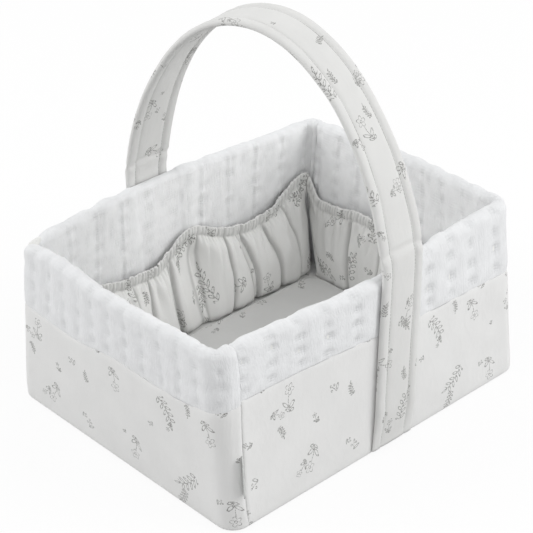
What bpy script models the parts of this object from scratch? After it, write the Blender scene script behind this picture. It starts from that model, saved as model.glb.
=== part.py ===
# Nursery storage basket with padded walls, gathered inner pockets and a carrying strap
#
# Four padded walls stand on a stiff base. Each wall is a board between two layers of wadding,
# with a printed jersey cover below and a waffle cloth panel above, which folds over the rim and
# lines the inside. Gathered pockets with an elastic header hang inside the walls. A padded strap
# runs up one long wall, over the middle in an arch and down the other long wall. A padded insert
# lies loose on the floor.
#
# Metres, +Z up. The origin is the centre of the underside. +X runs along the long walls and
# -Y points out of the front wall.

import math

import bmesh
import bpy
from mathutils import Matrix, Vector

# Outside of the walls
BASE_LENGTH = 0.368
BASE_WIDTH = 0.299
RIM_LENGTH = 0.3645
RIM_WIDTH = 0.2635
WALL_HEIGHT = 0.170
CORNER_RADIUS = 0.018
LONG_WALL_BOW = 0.010
SHORT_WALL_BOW = 0.0045
COVER_SEAM_HEIGHT = 0.112
NEAR_SEAM_REACH = 0.004

# Layers, from the outside of a wall to its inside
CLEARANCE = 0.0003
CLOTH = 0.0012
WADDING = 0.0028
BOARD = 0.0028

# Gathered pockets
LONG_POCKET_BELLY = 0.037
SHORT_POCKET_BELLY = 0.021
LONG_POCKET_THROAT = 0.010
SHORT_POCKET_THROAT = 0.014
LONG_FOLD_DEPTH = 0.006
SHORT_FOLD_DEPTH = 0.0045
POCKET_CORNER_HEIGHT = 0.126
POCKET_DIVISION_HEIGHT = 0.109
LONG_POCKET_SAG_HEIGHT = 0.086
SHORT_POCKET_SAG_HEIGHT = 0.094
HEADER_HEIGHT = 0.010
ELASTIC_WIDTH = 0.006
ELASTIC_THICKNESS = 0.0008
DIVISION_SHARE = -0.08
LONG_COMPARTMENT_FOLDS = 5
SHORT_COMPARTMENT_FOLDS = 7

# Loose floor insert
INSERT_PLAY = 0.0008
INSERT_CORNER_RADIUS = 0.022
INSERT_EDGE_ROUND = 0.003
INSERT_SLOT_LENGTH = 0.200
INSERT_SLOT_WIDTH = 0.050
INSERT_SLOT_RADIUS = 0.010

# Strap
STRAP_WIDTH = 0.050
STRAP_THICKNESS = 0.0064
STRAP_CLOTH = 0.0009
STRAP_SKEW = 0.023
STRAP_FOOT_SKEW = 0.007
STRAP_FOOT_HEIGHT = 0.002
LEG_ABOVE_RIM = 0.002
PIVOT_CLEARANCE = 0.0006
ARCH_TOP_HEIGHT = 0.372
ARCH_CENTRE_BELOW_RIM = 0.042

# Blank tab in the near seam
TAB_HEIGHT = 0.036
TAB_REACH = 0.009
TAB_THICKNESS = 0.001
TAB_FOOT_HEIGHT = 0.036

# Shares of half the strap's width and of half its thickness, from one edge to the other
STRAP_TOP_SHARES = (
    (-1.0, 0.0),
    (-0.92, 0.76),
    (-0.74, 1.0),
    (-0.48, 0.62),
    (-0.30, 0.86),
    (0.0, 0.92),
    (0.30, 0.86),
    (0.48, 0.62),
    (0.74, 1.0),
    (0.92, 0.76),
    (1.0, 0.0),
)
STRAP_CORE_SHARES = tuple(STRAP_TOP_SHARES[i] for i in (0, 2, 3, 5, 7, 8, 10))

# Heights along a pocket, as shares from its hem up to the foot of its header
POCKET_LEVEL_SHARES = (0.0, 0.1, 0.35, 0.65, 1.0)

# How steeply a pocket's top edge climbs to the ends of a compartment
LONG_RISE_POWER = 2
SHORT_RISE_POWER = 6

# How a pocket fills out: its header from its ends, its belly up to the header, its hem's tuck
HEADER_FILL_POWER = 0.6
BELLY_POWER = 2.2
HEM_TUCK_SHARE = 0.25

# Shares of the fold depth at the hem, added up to the middle and lost again to the header
FOLD_SHARES = (0.55, 0.9, 1.25)

# The insert's edge: its roll's step in and how far that step lies from its faces, as shares
INSERT_STEP_IN_SHARE = 0.25
INSERT_STEP_SHARE = 0.35

# Counts of straight pieces in the curves
CORNER_STEPS = 3
WALL_STEPS = 8
CREST_STEPS = 6
EDGE_STEPS = 3
POINTS_PER_FOLD = 4
LEG_STEPS = 2
FOLD_STEPS = 4
ARCH_STEPS = 22
SMOOTH_ANGLE = math.radians(40)

# Sizes that follow from the ones above
WALL_THICKNESS = 2 * CLOTH + 2 * WADDING + BOARD + 4 * CLEARANCE
OUTER_WADDING_DEPTH = CLOTH + CLEARANCE
BOARD_DEPTH = OUTER_WADDING_DEPTH + WADDING + CLEARANCE
INNER_WADDING_DEPTH = BOARD_DEPTH + BOARD + CLEARANCE
LINING_DEPTH = WALL_THICKNESS - CLOTH
CREST_RADIUS = WALL_THICKNESS / 2
CREST_CENTRE_HEIGHT = WALL_HEIGHT - CREST_RADIUS
BOARD_TOP_HEIGHT = CREST_CENTRE_HEIGHT - CLEARANCE
LAYER_LEVELS = (COVER_SEAM_HEIGHT,)
EDGE_ROUND = CLOTH + CLEARANCE + BOARD
WALL_FOOT_HEIGHT = EDGE_ROUND + CLEARANCE
LINING_FLOOR_HEIGHT = WALL_FOOT_HEIGHT + WADDING + CLEARANCE
POCKET_FOOT_HEIGHT = LINING_FLOOR_HEIGHT + CLOTH + CLEARANCE
POCKET_SEAM_GAP = 2 * CLEARANCE
CASING_DEPTH = CLOTH + ELASTIC_THICKNESS + 2 * CLEARANCE
INSERT_FOOT_HEIGHT = POCKET_FOOT_HEIGHT
INSERT_THICKNESS = 2 * CLOTH + BOARD + WADDING + 3 * CLEARANCE
LEG_TOP_HEIGHT = WALL_HEIGHT + LEG_ABOVE_RIM
PIVOT_HEIGHT = LEG_TOP_HEIGHT + STRAP_WIDTH / 2 + PIVOT_CLEARANCE
ARCH_CENTRE_HEIGHT = WALL_HEIGHT - ARCH_CENTRE_BELOW_RIM
ARCH_RISE = ARCH_TOP_HEIGHT - STRAP_THICKNESS / 2 - ARCH_CENTRE_HEIGHT

# Each side's direction along the wall, seen from outside, and its direction outwards
SIDES = {
    "front": (Vector((1, 0, 0)), Vector((0, -1, 0))),
    "right": (Vector((0, 1, 0)), Vector((1, 0, 0))),
    "back": (Vector((-1, 0, 0)), Vector((0, 1, 0))),
    "left": (Vector((0, -1, 0)), Vector((-1, 0, 0))),
}
LONG_SIDES = ("front", "back")


def clear_scene():
    for old in list(bpy.data.objects):
        bpy.data.objects.remove(old, do_unlink=True)


def material(name, colour, roughness):
    made = bpy.data.materials.new(name)
    made.use_nodes = True
    shader = made.node_tree.nodes["Principled BSDF"]
    shader.inputs["Base Color"].default_value = (*colour, 1)
    shader.inputs["Roughness"].default_value = roughness
    shader.inputs["Metallic"].default_value = 0
    return made


def lerp(start, end, share):
    return start + (end - start) * share


def smooth_step(share):
    return share * share * (3 - 2 * share)


def add_split_face(shape, near_a, near_b, far_b, far_a):
    """A face as two triangles, split by the diagonal that climbs from the near ring to the far
    one, so that layers which lie on each other bend alike."""
    if near_a.co.z <= near_b.co.z:
        shape.faces.new((near_a, near_b, far_b))
        shape.faces.new((near_a, far_b, far_a))
    else:
        shape.faces.new((near_a, near_b, far_a))
        shape.faces.new((near_b, far_b, far_a))


def loft(name, rings, finish, closed=False):
    """One closed solid through rings of equal count, with its ends capped, or joined if closed."""
    shape = bmesh.new()
    loops = [[shape.verts.new(point) for point in ring] for ring in rings]
    pairs = list(zip(loops, loops[1:]))
    if closed:
        pairs.append((loops[-1], loops[0]))
    for first, second in pairs:
        for i in range(len(first)):
            j = (i + 1) % len(first)
            add_split_face(shape, first[i], first[j], second[j], second[i])
    if not closed:
        shape.faces.new(reversed(loops[0]))
        shape.faces.new(loops[-1])
    bmesh.ops.recalc_face_normals(shape, faces=shape.faces)
    mesh = bpy.data.meshes.new(name)
    shape.to_mesh(mesh)
    shape.free()
    mesh.shade_smooth()
    mesh.set_sharp_from_angle(angle=SMOOTH_ANGLE)
    mesh.materials.append(finish)
    made = bpy.data.objects.new(name, mesh)
    bpy.context.collection.objects.link(made)
    return made


def half_turned(rings):
    """The same rings turned half a turn about the vertical axis, for the opposite long wall."""
    turn = Matrix.Rotation(math.pi, 3, "Z")
    return [[turn @ point for point in ring] for ring in rings]


def hang_on(pivot_name, place, pieces):
    """An empty at the joint's axis that carries the moving pieces."""
    pivot = bpy.data.objects.new(pivot_name, None)
    pivot.location = place
    bpy.context.collection.objects.link(pivot)
    for piece in pieces:
        piece.data.transform(Matrix.Translation(-place))
        piece.parent = pivot


# Shape of the walls


def reach(side, height):
    """Distance from the middle of the basket to a wall's outside, next to its corners."""
    share = height / WALL_HEIGHT
    if side in LONG_SIDES:
        return lerp(BASE_WIDTH, RIM_WIDTH, share) / 2
    return lerp(BASE_LENGTH, RIM_LENGTH, share) / 2


def straight_half(side, height):
    """Half the length of a wall between its rounded corners."""
    neighbour = "left" if side in LONG_SIDES else "front"
    return reach(neighbour, height) - CORNER_RADIUS


def bow(side, run, height):
    """How far the wall bulges outwards: most in the middle of its rim."""
    most = LONG_WALL_BOW if side in LONG_SIDES else SHORT_WALL_BOW
    return most * height / WALL_HEIGHT * (1 + math.cos(math.pi * run)) / 2


def wall_point(side, run, turn, height, depth, seam=CLEARANCE, shift=0):
    """A point inside the wall's outline. run is a share of the straight half length, turn a share
    of the way round the corner to its middle, depth the distance in from the outside, and shift a
    distance further along the wall. seam is the gap left at a seam in the corner's middle."""
    along_way, outward = SIDES[side]
    radius = CORNER_RADIUS - depth
    along = run * straight_half(side, height) + shift
    out = reach(side, height) - depth + bow(side, run, height)
    if turn > 0:
        angle = turn * (math.pi / 4 - math.asin(seam / 2 / radius))
        along += math.copysign(radius * math.sin(angle), run)
        out -= radius * (1 - math.cos(angle))
    return along_way * along + outward * out + Vector((0, 0, height))


def face_point(side, along, height, depth):
    """A point on or off the straight part of a wall, placed by its distance along the wall."""
    run = along / straight_half(side, height)
    along_way, outward = SIDES[side]
    out = reach(side, height) - depth + bow(side, run, height)
    return along_way * along + outward * out + Vector((0, 0, height))


def wall_stations(side):
    """(side, run, turn, seam, shift) places from one seam to the other. The seams lie in the middle
    of the corners, but for the near one: there the left wall's cloth is carried round the whole
    corner and a little way along the front wall."""
    turns = [i / CORNER_STEPS for i in range(1, CORNER_STEPS + 1)]
    start = [(side, -1, turn, CLEARANCE, 0) for turn in reversed(turns)]
    straight = [(side, 2 * i / WALL_STEPS - 1, 0, CLEARANCE, 0) for i in range(WALL_STEPS + 1)]
    end = [(side, 1, turn, CLEARANCE, 0) for turn in turns]
    if side == "front":
        start = [(side, -1, 0, CLEARANCE, NEAR_SEAM_REACH + CLEARANCE / 2)]
        straight = straight[1:]
    if side == "left":
        end = [(side, 1, turn, 0, 0) for turn in turns]
        end += [("front", -1, turn, 0, 0) for turn in [0, *turns[:-1]][::-1]]
        end += [("front", -1, 0, 0, NEAR_SEAM_REACH - CLEARANCE / 2)]
    return start + straight + end


def sweep_wall(name, side, section, finish):
    """A section of (height, depth) points carried along one wall, from seam to seam."""
    rings = [
        [
            wall_point(on_side, run, turn, height, depth, seam, shift)
            for height, depth in section
        ]
        for on_side, run, turn, seam, shift in wall_stations(side)
    ]
    return loft(name, rings, finish)


def outline_ring(height, depth):
    """The outline of the basket at one height, all round, at a depth inside its outside."""
    ring = []
    for side in SIDES:
        for run in (-1, 1):
            turns = [i / CORNER_STEPS for i in range(CORNER_STEPS + 1)]
            if run < 0:
                turns = turns[:0:-1] + [0]
            else:
                turns = turns[:-1]
            ring += [wall_point(side, run, turn, height, depth, seam=0) for turn in turns]
    return ring


def crest_arc(radius, start_angle, end_angle):
    """(height, depth) points round the rim's centre line. Angle 0 faces out and pi faces in."""
    angles = [lerp(start_angle, end_angle, i / CREST_STEPS) for i in range(CREST_STEPS + 1)]
    return [
        (CREST_CENTRE_HEIGHT + radius * math.sin(angle), CREST_RADIUS - radius * math.cos(angle))
        for angle in angles
    ]


def layer_run(start, end, depth):
    """(height, depth) points up or down a layer, stopping at each common level between its ends,
    its ends left out."""
    low, high = sorted((start, end))
    between = [(height, depth) for height in LAYER_LEVELS if low < height < high]
    return between if start < end else between[::-1]


def cover_section():
    """Jersey band: from the seam with the waffle cloth down and round the bottom edge."""
    top = COVER_SEAM_HEIGHT - CLEARANCE / 2
    steps = [i / EDGE_STEPS * math.pi / 2 for i in range(EDGE_STEPS + 1)]
    inner_radius = EDGE_ROUND - CLOTH
    outside = [
        (EDGE_ROUND * (1 - math.sin(angle)), EDGE_ROUND * (1 - math.cos(angle))) for angle in steps
    ]
    inside = [
        (EDGE_ROUND - inner_radius * math.sin(angle), EDGE_ROUND - inner_radius * math.cos(angle))
        for angle in reversed(steps)
    ]
    down = layer_run(top, EDGE_ROUND, 0)
    up = layer_run(EDGE_ROUND, top, CLOTH)
    return [(top, 0)] + down + outside + inside + up + [(top, CLOTH)]


def leg_round(down_depth, up_depth):
    """Down one face of a layer from the crest, round its foot and up its other face."""
    down = layer_run(CREST_CENTRE_HEIGHT, WALL_FOOT_HEIGHT, down_depth)
    foot = [(WALL_FOOT_HEIGHT, down_depth), (WALL_FOOT_HEIGHT, up_depth)]
    return down + foot + layer_run(WALL_FOOT_HEIGHT, CREST_CENTRE_HEIGHT, up_depth)


def waffle_section():
    """Waffle cloth: from the seam up the outside, over the rim and down the inside."""
    seam = COVER_SEAM_HEIGHT + CLEARANCE / 2
    outside = crest_arc(CREST_RADIUS, 0, math.pi)
    inside = crest_arc(CREST_RADIUS - CLOTH, math.pi, 0)
    lining = leg_round(WALL_THICKNESS, LINING_DEPTH)
    return [(seam, 0)] + outside + lining + inside + [(seam, CLOTH)]


def wadding_section():
    """Wadding folded over the board's top edge."""
    outer_radius = CREST_RADIUS - OUTER_WADDING_DEPTH
    outside = crest_arc(outer_radius, 0, math.pi)
    inside = crest_arc(outer_radius - WADDING, math.pi, 0)
    inner_leg = leg_round(INNER_WADDING_DEPTH + WADDING, INNER_WADDING_DEPTH)
    outer_leg = leg_round(OUTER_WADDING_DEPTH + WADDING, OUTER_WADDING_DEPTH)
    return outside + inner_leg + inside + outer_leg


def board_section():
    top = [(BOARD_TOP_HEIGHT, BOARD_DEPTH), (BOARD_TOP_HEIGHT, BOARD_DEPTH + BOARD)]
    return top + leg_round(BOARD_DEPTH + BOARD, BOARD_DEPTH)


def make_board(side, finish):
    """The board stiffens only the straight part of its wall."""
    runs = [2 * i / WALL_STEPS - 1 for i in range(WALL_STEPS + 1)]
    rings = [
        [wall_point(side, run, 0, height, depth) for height, depth in board_section()]
        for run in runs
    ]
    loft(f"{side}_wall_board", rings, finish)


def make_wall(side, finishes):
    make_board(side, finishes["board"])
    sweep_wall(f"{side}_wall_wadding", side, wadding_section(), finishes["wadding"])
    sweep_wall(f"{side}_wall_cover", side, cover_section(), finishes["jersey"])
    sweep_wall(f"{side}_wall_waffle", side, waffle_section(), finishes["waffle"])


# Base of the basket


def make_base(finishes):
    under_depth = EDGE_ROUND + CLEARANCE
    board_foot = CLOTH + CLEARANCE
    inner_depth = WALL_THICKNESS + CLEARANCE
    layers = (
        ("base_cover", 0, CLOTH, under_depth, "jersey"),
        ("base_board", board_foot, BOARD, under_depth, "board"),
        ("base_wadding", WALL_FOOT_HEIGHT, WADDING, inner_depth, "wadding"),
        ("floor_lining", LINING_FLOOR_HEIGHT, CLOTH, inner_depth, "jersey"),
    )
    for name, foot, thickness, depth, finish in layers:
        rings = [outline_ring(foot, depth), outline_ring(foot + thickness, depth)]
        loft(name, rings, finishes[finish])


# Gathered pockets


def compartments(side):
    """(start run, end run, start peak height, end peak height) of each compartment of a pocket."""
    if side in LONG_SIDES:
        return (
            (-1, DIVISION_SHARE, POCKET_CORNER_HEIGHT, POCKET_DIVISION_HEIGHT),
            (DIVISION_SHARE, 1, POCKET_DIVISION_HEIGHT, POCKET_CORNER_HEIGHT),
        )
    return ((-1, 1, POCKET_CORNER_HEIGHT, POCKET_CORNER_HEIGHT),)


def pocket_stations(side):
    """(run, place in the compartment, fold fullness, top height) across a pocket. The fullness is
    0 in a crease and near 1 on the crown of a fold, and the folds are not all equally wide."""
    is_long = side in LONG_SIDES
    folds = LONG_COMPARTMENT_FOLDS if is_long else SHORT_COMPARTMENT_FOLDS
    sag = LONG_POCKET_SAG_HEIGHT if is_long else SHORT_POCKET_SAG_HEIGHT
    power = LONG_RISE_POWER if is_long else SHORT_RISE_POWER
    count = folds * POINTS_PER_FOLD
    stations = []
    for start, end, start_peak, end_peak in compartments(side):
        for i in range(count + 1):
            if stations and i == 0:
                continue
            even = i / count
            place = even + math.sin(2 * math.pi * even) * math.sin(5 * even + end) / (3 * count)
            fullness = math.sqrt(abs(math.sin(math.pi * folds * even)))
            peak = lerp(start_peak, end_peak, place)
            top = sag + (peak - sag) * abs(2 * place - 1) ** power
            stations.append((lerp(start, end, place), place, fullness, top))
    return stations


def pocket_gap(side, place, fullness, level):
    """Distance from the lining to the back of the pocket's cloth. level is 0 at the hem and 1 at
    the foot of the header and above it. The hem runs round the floor insert, clear of the wall
    all along, and only the header meets the wall at the ends of a compartment."""
    is_long = side in LONG_SIDES
    belly = LONG_POCKET_BELLY if is_long else SHORT_POCKET_BELLY
    throat = LONG_POCKET_THROAT if is_long else SHORT_POCKET_THROAT
    fold_depth = LONG_FOLD_DEPTH if is_long else SHORT_FOLD_DEPTH
    stand_off = lerp(1, max(math.sin(math.pi * place), 0) ** HEADER_FILL_POWER, level)
    hem_tuck = 1 - HEM_TUCK_SHARE * max(1 - level / POCKET_LEVEL_SHARES[1], 0) ** 2
    bulge = lerp(throat, belly, (1 - level**BELLY_POWER) * hem_tuck)
    at_hem, gained, lost = FOLD_SHARES
    gather = fold_depth * (at_hem + gained * level - lost * level**2) * (fullness - 0.5)
    casing = CASING_DEPTH * max(level - POCKET_LEVEL_SHARES[-2], 0) / (1 - POCKET_LEVEL_SHARES[-2])
    return POCKET_SEAM_GAP + casing + stand_off * (bulge + gather)


def pocket_half(side, height, level):
    """Half the length of a pocket at a level, where it meets the next pocket in a mitre. Its header
    ends where the wall starts to turn."""
    neighbour = "right" if side in LONG_SIDES else "back"
    next_cloth = WALL_THICKNESS + pocket_gap(neighbour, 0, 0, level) + CLOTH
    return min(reach(neighbour, height) - next_cloth - POCKET_SEAM_GAP, straight_half(side, height))


def pocket_point(side, run, height, level, gap):
    share = pocket_half(side, height, level) / straight_half(side, height)
    return wall_point(side, run * share, 0, height, WALL_THICKNESS + gap)


def pocket_ring(side, station):
    """One upright section through a pocket: cloth, header and the tunnel for its elastic."""
    run, place, fullness, top = station
    header_foot = top - HEADER_HEIGHT
    gaps = [pocket_gap(side, place, fullness, level) for level in POCKET_LEVEL_SHARES]
    heights = [lerp(POCKET_FOOT_HEIGHT, header_foot, level) for level in POCKET_LEVEL_SHARES]
    header_gap = gaps[-1]
    back_gap = header_gap - CASING_DEPTH
    shoulder = top - CLOTH / 2
    back = list(zip(heights, POCKET_LEVEL_SHARES, gaps))
    front = [(height, level, gap + CLOTH) for height, level, gap in back]
    header = [
        (shoulder, 1, header_gap + CLOTH),
        (top, 1, (header_gap + CLOTH + back_gap) / 2),
        (shoulder, 1, back_gap),
        (header_foot, 1, back_gap),
        (header_foot, 1, back_gap + CLOTH),
        (top - CLOTH, 1, back_gap + CLOTH),
        (top - CLOTH, 1, header_gap),
    ]
    return [pocket_point(side, run, *spot) for spot in front + header + back[::-1]]


def elastic_ring(side, station):
    """The elastic lies in the header's tunnel, clear of the cloth all round."""
    run, place, fullness, top = station
    near = pocket_gap(side, place, fullness, 1) - CLEARANCE
    far = near - ELASTIC_THICKNESS
    upper = top - CLOTH - CLEARANCE
    lower = upper - ELASTIC_WIDTH
    return [
        pocket_point(side, run, height, 1, gap)
        for height, gap in ((lower, near), (upper, near), (upper, far), (lower, far))
    ]


def make_pocket(side, finishes):
    stations = pocket_stations(side)
    cloth = [pocket_ring(side, station) for station in stations]
    elastic = [elastic_ring(side, station) for station in stations]
    loft(f"{side}_pocket", cloth, finishes["jersey"])
    loft(f"{side}_pocket_elastic", elastic, finishes["elastic"])


def free_half(side):
    """Half the clear width between a pocket and the one opposite, at their fullest."""
    outward = SIDES[side][1]
    rings = [pocket_ring(side, station) for station in pocket_stations(side)]
    return min(point.dot(outward) for ring in rings for point in ring)


# Loose floor insert


def rounded_ring(half_length, half_width, radius, height):
    """A rounded rectangle with its corners as arcs."""
    ring = []
    corners = ((1, 1, 0), (-1, 1, 1), (-1, -1, 2), (1, -1, 3))
    for x_way, y_way, quarter in corners:
        for i in range(2 * CORNER_STEPS + 1):
            angle = (quarter + i / (2 * CORNER_STEPS)) * math.pi / 2
            x = x_way * (half_length - radius) + radius * math.cos(angle)
            y = y_way * (half_width - radius) + radius * math.sin(angle)
            ring.append(Vector((x, y, height)))
    return ring


def make_insert(finishes):
    """A padded floor: board below wadding, in a cover with an envelope opening underneath."""
    half_length = free_half("right") - INSERT_PLAY
    half_width = free_half("front") - INSERT_PLAY
    foot = INSERT_FOOT_HEIGHT
    top = foot + INSERT_THICKNESS
    middle = (foot + top) / 2

    def plan(inset, height):
        radius = INSERT_CORNER_RADIUS - inset
        return rounded_ring(half_length - inset, half_width - inset, radius, height)

    def slot(height):
        half_slot = (INSERT_SLOT_LENGTH / 2, INSERT_SLOT_WIDTH / 2)
        return rounded_ring(*half_slot, INSERT_SLOT_RADIUS, height)

    room = INSERT_EDGE_ROUND
    bevel = INSERT_EDGE_ROUND * INSERT_STEP_IN_SHARE
    rings = [
        plan(room, top - CLOTH),
        plan(room, foot + CLOTH),
        slot(foot + CLOTH),
        slot(foot),
        plan(room, foot),
        plan(bevel, lerp(foot, middle, INSERT_STEP_SHARE)),
        plan(0, middle),
        plan(bevel, lerp(top, middle, INSERT_STEP_SHARE)),
        plan(room, top),
    ]
    cover = loft("insert_cover", rings, finishes["jersey"])
    inner = room + CLEARANCE
    board_foot = foot + CLOTH + CLEARANCE
    board_top = board_foot + BOARD
    board = loft("insert_board", [plan(inner, board_foot), plan(inner, board_top)], finishes["board"])
    pad_foot = board_top + CLEARANCE
    pad_rings = [plan(inner, pad_foot), plan(inner, pad_foot + WADDING)]
    pad = loft("insert_wadding", pad_rings, finishes["wadding"])
    hang_on("insert_lift_point", Vector((0, 0, foot)), (cover, board, pad))


# Strap


def strap_section(inset):
    """(across, lift) points of the strap's rolled edges, stitched valleys and padded middle, each
    drawn in by inset from the outside of its cloth. The core inside has fewer points."""
    shares = STRAP_CORE_SHARES if inset > STRAP_CLOTH else STRAP_TOP_SHARES
    half_width = STRAP_WIDTH / 2 - inset
    half_thickness = STRAP_THICKNESS / 2

    def lift(share):
        return max(share * half_thickness - inset, 0)

    top = [(across * half_width, lift(rise)) for across, rise in shares]
    under = [(across * half_width, -lift(rise)) for across, rise in shares[-2:0:-1]]
    return top + under


def leg_ring(height, inset):
    """The strap lies flat on the outside of the front wall, and slants up to the rim."""
    off = CLEARANCE + STRAP_THICKNESS / 2
    skew = lerp(STRAP_FOOT_SKEW, STRAP_SKEW, min(height / LEG_TOP_HEIGHT, 1))
    return [
        face_point("front", skew + across, height, -(off + lift))
        for across, lift in strap_section(inset)
    ]


def arch_frame():
    """Direction from the middle to the front foot, direction across the strap, and the ellipse's
    half width, which brings its centre line over the top of the sewn leg."""
    off = CLEARANCE + STRAP_THICKNESS / 2
    foot = face_point("front", STRAP_SKEW, LEG_TOP_HEIGHT, -off)
    foot.z = 0
    towards = foot.normalized()
    across_way = Vector((-towards.y, towards.x, 0))
    fall = (LEG_TOP_HEIGHT - ARCH_CENTRE_HEIGHT) / ARCH_RISE
    return towards, across_way, foot.length / math.sqrt(1 - fall * fall)


def arch_ring(angle, inset):
    """A section across the arch. The angle is 0 at the ellipse's front end and pi at its back."""
    towards, across_way, half_width = arch_frame()
    up = Vector((0, 0, 1))
    centre = towards * half_width * math.cos(angle)
    centre += up * (ARCH_CENTRE_HEIGHT + ARCH_RISE * math.sin(angle))
    normal = towards * math.cos(angle) / half_width + up * math.sin(angle) / ARCH_RISE
    normal.normalize()
    return [centre + across_way * across + normal * lift for across, lift in strap_section(inset)]


def arch_angle(height):
    return math.asin((height - ARCH_CENTRE_HEIGHT) / ARCH_RISE)


def make_leg(place, turned, finishes):
    """Sewn leg: an envelope of jersey, closed at its foot, round a strip of wadding."""
    heights = [lerp(STRAP_FOOT_HEIGHT, LEG_TOP_HEIGHT, i / LEG_STEPS) for i in range(LEG_STEPS + 1)]
    inside_foot = STRAP_FOOT_HEIGHT + STRAP_CLOTH
    inside_heights = [inside_foot] + heights[1:]
    core_heights = [inside_foot + CLEARANCE] + heights[1:]
    inside = [leg_ring(height, STRAP_CLOTH) for height in inside_heights]
    outside = [leg_ring(height, 0) for height in reversed(heights)]
    core = [leg_ring(height, STRAP_CLOTH + CLEARANCE) for height in core_heights]
    cover = inside + outside
    if turned:
        cover = half_turned(cover)
        core = half_turned(core)
    loft(f"strap_{place}_leg", cover, finishes["jersey"])
    loft(f"strap_{place}_leg_core", core, finishes["wadding"])


def make_fold(place, turned, finishes):
    """The stretch of strap that bends when the arch tips: it leaves the wall and turns into the
    arch's plane."""
    foot = LEG_TOP_HEIGHT + CLEARANCE
    top = PIVOT_HEIGHT - CLEARANCE
    rings = []
    for i in range(FOLD_STEPS + 1):
        height = lerp(foot, top, i / FOLD_STEPS)
        share = smooth_step(i / FOLD_STEPS)
        low = leg_ring(height, 0)
        high = arch_ring(arch_angle(height), 0)
        rings.append([a.lerp(b, share) for a, b in zip(low, high)])
    if turned:
        rings = half_turned(rings)
    loft(f"strap_{place}_fold", rings, finishes["jersey"])


def make_handle(finishes):
    """The arch, from pivot to pivot: a tube of jersey round a strip of wadding."""
    start = arch_angle(PIVOT_HEIGHT)
    angles = [lerp(start, math.pi - start, i / ARCH_STEPS) for i in range(ARCH_STEPS + 1)]
    outside = [arch_ring(angle, 0) for angle in angles]
    inside = [arch_ring(angle, STRAP_CLOTH) for angle in reversed(angles)]
    core = [arch_ring(angle, STRAP_CLOTH + CLEARANCE) for angle in angles]
    cover = loft("handle_cover", outside + inside, finishes["jersey"], closed=True)
    padding = loft("handle_core", core, finishes["wadding"])
    hang_on("handle_pivot", Vector((0, 0, PIVOT_HEIGHT)), (cover, padding))


# Blank tab


def make_tab(finishes):
    """A folded piece of tape that stands out of the near seam, slanting to the corner."""
    along_way, outward = SIDES["front"]
    rings = []
    for height in (TAB_FOOT_HEIGHT, TAB_FOOT_HEIGHT + TAB_HEIGHT):
        seam = wall_point("front", -1, 0, height, -CLEARANCE, shift=NEAR_SEAM_REACH)
        aside = along_way * TAB_THICKNESS / 2
        end = seam + (outward - along_way).normalized() * TAB_REACH
        rings.append([seam - aside, seam + aside, end + aside, end - aside])
    loft("label_tab", rings, finishes["tape"])


def build():
    clear_scene()
    finishes = {
        "waffle": material("white_waffle", (0.80, 0.81, 0.82), 0.95),
        "jersey": material("pale_jersey", (0.72, 0.72, 0.70), 0.9),
        "wadding": material("wadding", (0.88, 0.88, 0.86), 1.0),
        "board": material("stiff_board", (0.62, 0.60, 0.56), 0.7),
        "elastic": material("elastic", (0.83, 0.83, 0.81), 0.8),
        "tape": material("tab_tape", (0.78, 0.78, 0.77), 0.7),
    }
    for side in SIDES:
        make_wall(side, finishes)
        make_pocket(side, finishes)
    make_base(finishes)
    make_insert(finishes)
    for place, turned in (("front", False), ("back", True)):
        make_leg(place, turned, finishes)
        make_fold(place, turned, finishes)
    make_handle(finishes)
    make_tab(finishes)


build()
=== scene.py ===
# Nursery storage basket, dressed: cloth, print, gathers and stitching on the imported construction
#
# Every cloth piece starts as a flat grid in its own cut sizes, is carried onto the basket by the
# same outline that the construction uses, and gets its relief and thickness there.
# Metres, +Z up. +X runs along the long walls and -Y points out of the front wall.

import math

import bpy
import numpy as np
from mathutils import Matrix, Vector


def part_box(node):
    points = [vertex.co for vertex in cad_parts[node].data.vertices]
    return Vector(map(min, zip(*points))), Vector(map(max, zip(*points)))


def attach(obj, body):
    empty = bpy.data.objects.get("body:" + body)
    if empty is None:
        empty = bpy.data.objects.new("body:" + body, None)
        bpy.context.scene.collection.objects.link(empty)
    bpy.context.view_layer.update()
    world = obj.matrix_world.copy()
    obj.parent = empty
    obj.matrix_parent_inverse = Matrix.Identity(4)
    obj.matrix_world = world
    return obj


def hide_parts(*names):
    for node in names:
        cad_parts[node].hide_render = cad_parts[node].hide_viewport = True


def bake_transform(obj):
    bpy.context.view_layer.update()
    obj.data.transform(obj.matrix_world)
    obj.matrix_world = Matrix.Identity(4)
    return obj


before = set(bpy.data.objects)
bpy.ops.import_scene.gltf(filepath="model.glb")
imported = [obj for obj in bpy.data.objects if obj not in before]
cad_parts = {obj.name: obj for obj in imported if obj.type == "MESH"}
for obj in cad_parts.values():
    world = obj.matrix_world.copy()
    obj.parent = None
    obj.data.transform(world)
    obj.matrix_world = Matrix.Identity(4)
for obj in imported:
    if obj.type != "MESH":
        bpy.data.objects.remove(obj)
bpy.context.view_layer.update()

# Outside of the walls, as in the construction
BASE_LENGTH = 0.368
BASE_WIDTH = 0.299
RIM_LENGTH = 0.3645
RIM_WIDTH = 0.2635
WALL_HEIGHT = 0.170
CORNER_RADIUS = 0.018
LONG_WALL_BOW = 0.010
SHORT_WALL_BOW = 0.0045
CLEARANCE = 0.0003
WALL_THICKNESS = 0.012
CREST_RADIUS = WALL_THICKNESS / 2
CREST_CENTRE_HEIGHT = WALL_HEIGHT - CREST_RADIUS
EDGE_ROUND = 0.0043
LINING_FOOT_HEIGHT = 0.0046
POCKET_FOOT_HEIGHT = 0.0092
CORNER_ARC = CORNER_RADIUS * math.pi / 4

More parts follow.
